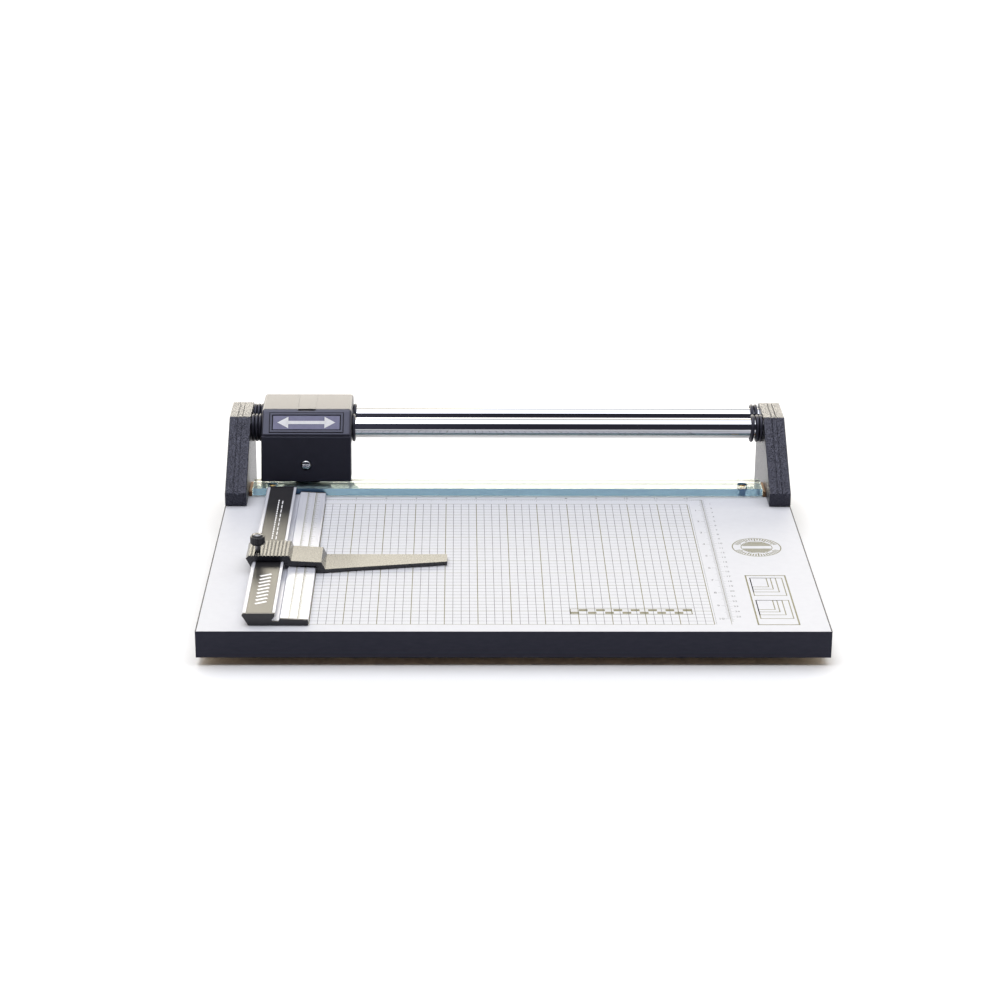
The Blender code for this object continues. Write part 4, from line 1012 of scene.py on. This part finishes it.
# Flat, dull dark paint for the two flush rings beside the rim: painted shade along the rim's foot.
rim_shade_paint = finish(
    "rim_shade_paint", ((0.006, 0.006, 0.009), (0.010, 0.010, 0.014)), (0.6, 0.8), specular=0.2
)
plate_paint = finish(
    "plate_paint", ((0.10, 0.10, 0.20), (0.13, 0.13, 0.24)), (0.30, 0.42), grain=0.0007
)
badge = as_piece(plate, "framed_plate", head_paint, "head", smooth=30)
badge.data.materials.append(rim_shade_paint)
badge.data.materials.append(plate_paint)

ARROW_SHAFT, ARROW_TIP, ARROW_REACH, ARROW_THICKNESS = 0.0330, 0.0062, 0.0185, 0.0002
arrow = bmesh.new()
block(arrow, (0, 0, 0), (ARROW_SHAFT, 0.0030, ARROW_THICKNESS))
for way in (-1, 1):
    tip = bmesh.ops.create_circle(arrow, cap_ends=True, segments=3, radius=ARROW_TIP)
    bmesh.ops.rotate(arrow, verts=tip["verts"], matrix=Matrix.Rotation(-way * math.pi / 2, 3, "Z"))
    bmesh.ops.translate(arrow, verts=tip["verts"], vec=(way * ARROW_REACH, 0, -ARROW_THICKNESS / 2))
    tip_face = next(f for f in arrow.faces if len(f.verts) == 3 and set(f.verts) == set(tip["verts"]))
    grown(arrow, [tip_face], (0, 0, ARROW_THICKNESS))
bmesh.ops.recalc_face_normals(arrow, faces=arrow.faces)
bmesh.ops.translate(arrow, verts=arrow.verts, vec=(0, 0, 0.0003))
bmesh.ops.transform(arrow, matrix=plate_place, verts=arrow.verts)
as_piece(arrow, "direction_mark", white_ink, "head")

# Blade guard: the cover's lower half, moulded in the same satin black, leaning back over the blade, with
# a hole for the axle screw.

foot_y, head_y = guard_low.y, guard_low.y + 0.0114
outline = [
    (foot_y, guard_low.z), (head_y, guard_high.z), (guard_high.y, guard_high.z),
    (guard_high.y, guard_low.z),
]
guard = slab(outline, guard_low.x, guard_high.x, edge=0.0012, segments=4)
lean = (head_y - foot_y) / (guard_high.z - guard_low.z)
room = [
    (foot_y + WALL - lean * 0.01, guard_low.z - 0.01),
    (head_y + WALL + lean * 0.01, guard_high.z + 0.01), (guard_high.y + 0.01, guard_high.z + 0.01),
    (guard_high.y + 0.01, guard_low.z - 0.01),
]
axle_low, axle_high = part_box("blade_axle")
axle_z = (axle_low.z + axle_high.z) / 2
hole = bore(0.0043, 0.0, 0.03)
guard = carved(
    guard,
    [
        slab(room, guard_low.x + WALL, guard_high.x - WALL),
        turned(hole, (head_x, foot_y - 0.01, axle_z), (0, 1, 0), steps=64),
    ],
)
as_piece(guard, "painted_blade_guard", head_paint, "head", ["blade_guard"], smooth=30)

# Axle screw: chromed, with a domed and slotted head that shows in the guard; the blade's hub turns on it.

blade_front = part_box("cutting_blade")[0].y
axle_length = axle_high.y - axle_low.y
inner_face = axle_high.y - (blade_front - 0.0066)
head, shank = 0.0040, 0.0030
DOME_ANGLES, DOME_RISE = (0.25, 0.5, 0.75, 1.0, 1.3), head * 0.45
dome = [(head * math.sin(a), axle_length - DOME_RISE * (1 - math.cos(a))) for a in DOME_ANGLES]
profile = [
    (0.0, axle_length), *dome, (head, axle_length - DOME_RISE), (head, inner_face), (shank, inner_face),
    (shank, 0.0004), (shank - 0.0004, 0.0), (0.0, 0.0),
]
axle = turned(profile, (head_x, axle_high.y, axle_z), (0, -1, 0), steps=64)
facing = Vector((0, 0, 1)).rotation_difference(Vector((0, -1, 0))).to_matrix().to_4x4()
floor = (head_x, axle_low.y + 0.0008, axle_z)
axle = slotted(axle, floor, facing @ Matrix.Rotation(math.radians(20), 4, "Z"), head * 2.4, 0.0010)
as_piece(axle, "chromed_blade_axle", chrome, "head", ["blade_axle"], smooth=35)

# Carriage: an aluminium die casting between the rails, left as cast, that runs on two acetal bushes.

cast_metal = finish(
    "cast_aluminium", ((0.42, 0.42, 0.43), (0.56, 0.56, 0.57)), (0.42, 0.62), metallic=1.0,
    grain=0.0008, bump=0.00003
)
dress(cast_metal, "carriage_casting")
bush_plastic = finish(
    "acetal_bush", ((0.55, 0.54, 0.50), (0.64, 0.63, 0.58)), (0.35, 0.5), grain=0.0008
)
dress(bush_plastic, "front_rail_bush", "rear_rail_bush")

# Blade: a round of hardened tool steel, ground to its edge and turned on a brass hub.

dress(ground_steel, "cutting_blade")
dress(brass, "blade_hub")

# Floor, light and camera: a white table top under broad soft light, in bands from front to back: dark low
# in front, a bright panel, even light overhead, a dark gap, then a warm bright wall. It fades at the sides.

floor_mesh = bmesh.new()
bmesh.ops.create_grid(floor_mesh, x_segments=1, y_segments=1, size=9.0)
table = bpy.data.objects.new("table", bpy.data.meshes.new("table"))
floor_mesh.to_mesh(table.data)
floor_mesh.free()
white_table = finish(
    "white_table", ((0.86, 0.86, 0.86), (0.87, 0.87, 0.87)), (0.7, 0.8), grain=0.01, specular=0.1
)
table.data.materials.append(white_table)
scene.collection.objects.link(table)

world = bpy.data.worlds.new("studio")
scene.world = world
world.use_nodes = True
tree = world.node_tree
background = tree.nodes["Background"]
place = tree.nodes.new("ShaderNodeTexCoord")
way = tree.nodes.new("ShaderNodeSeparateXYZ")
tree.links.new(place.outputs["Generated"], way.inputs["Vector"])
towards = add_math(tree, "MULTIPLY", way.outputs["Y"], -1.0)
angle = add_math(tree, "ARCTAN2", way.outputs["Z"], towards)
share = add_math(tree, "DIVIDE", angle, math.pi)
ramp = tree.nodes.new("ShaderNodeValToRGB")
ramp.color_ramp.interpolation = "LINEAR"
STRENGTH = 6.6
BANDS = [
    (0.0, (0.006, 0.006, 0.008)), (0.365, (0.006, 0.006, 0.008)),
    (0.380, (0.50, 0.505, 0.53)), (0.425, (0.50, 0.505, 0.53)),
    (0.45, (0.29, 0.293, 0.305)), (0.70, (0.29, 0.29, 0.295)), (0.735, (0.25, 0.25, 0.25)),
    (0.752, (0.010, 0.010, 0.006)), (0.838, (0.010, 0.010, 0.006)), (0.850, (0.95, 0.885, 0.735)),
    (0.970, (0.95, 0.885, 0.735)), (1.0, (0.20, 0.20, 0.20)),
]
stops = ramp.color_ramp.elements
stops[0].position, stops[0].color = BANDS[0][0], (*BANDS[0][1], 1.0)
stops[1].position, stops[1].color = BANDS[-1][0], (*BANDS[-1][1], 1.0)
for position, colour in BANDS[1:-1]:
    stops.new(position).color = (*colour, 1.0)
tree.links.new(share, ramp.inputs["Fac"])
tree.links.new(ramp.outputs["Color"], background.inputs["Color"])


def eased(value, start, end, low, high):
    """A smooth step of the sky's brightness, from low at start to high at end."""
    step = tree.nodes.new("ShaderNodeMapRange")
    step.interpolation_type = "SMOOTHSTEP"
    for label, amount in (("From Min", start), ("From Max", end), ("To Min", low), ("To Max", high)):
        step.inputs[label].default_value = amount
    tree.links.new(value, step.inputs["Value"])
    return step.outputs["Result"]


from_window = add_math(tree, "ABSOLUTE", add_math(tree, "ADD", way.outputs["X"], 0.17))
window = eased(from_window, 0.20, 0.10, 0.0, 1.0)
ahead = eased(share, 0.76, 0.62, 0.0, 1.0)
gain = add_math(tree, "MULTIPLY_ADD", add_math(tree, "MULTIPLY", window, ahead), STRENGTH, STRENGTH)
aside = eased(add_math(tree, "ABSOLUTE", way.outputs["X"]), 0.50, 0.78, 1.0, 0.30)
tree.links.new(add_math(tree, "MULTIPLY", gain, aside), background.inputs["Strength"])

camera_data = bpy.data.cameras.new("camera")
camera_data.lens = 91.99
camera_data.sensor_width = 36.0
camera_data.clip_start = 0.05
camera = bpy.data.objects.new("camera", camera_data)
scene.collection.objects.link(camera)
pitch, yaw, roll = math.radians(20.714), math.radians(0.952), math.radians(0.406)
forward = Vector((math.sin(yaw) * math.cos(pitch), math.cos(yaw) * math.cos(pitch), -math.sin(pitch)))
level = Vector((math.cos(yaw), -math.sin(yaw), 0.0))
upward = level.cross(forward)
right = level * math.cos(roll) + upward * math.sin(roll)
over = upward * math.cos(roll) - level * math.sin(roll)
turn = Matrix((right, over, -forward)).transposed().to_4x4()
camera.matrix_world = Matrix.Translation((-0.04038, -1.93402, 0.79397)) @ turn
scene.camera = camera
scene.view_settings.view_transform = "Standard"
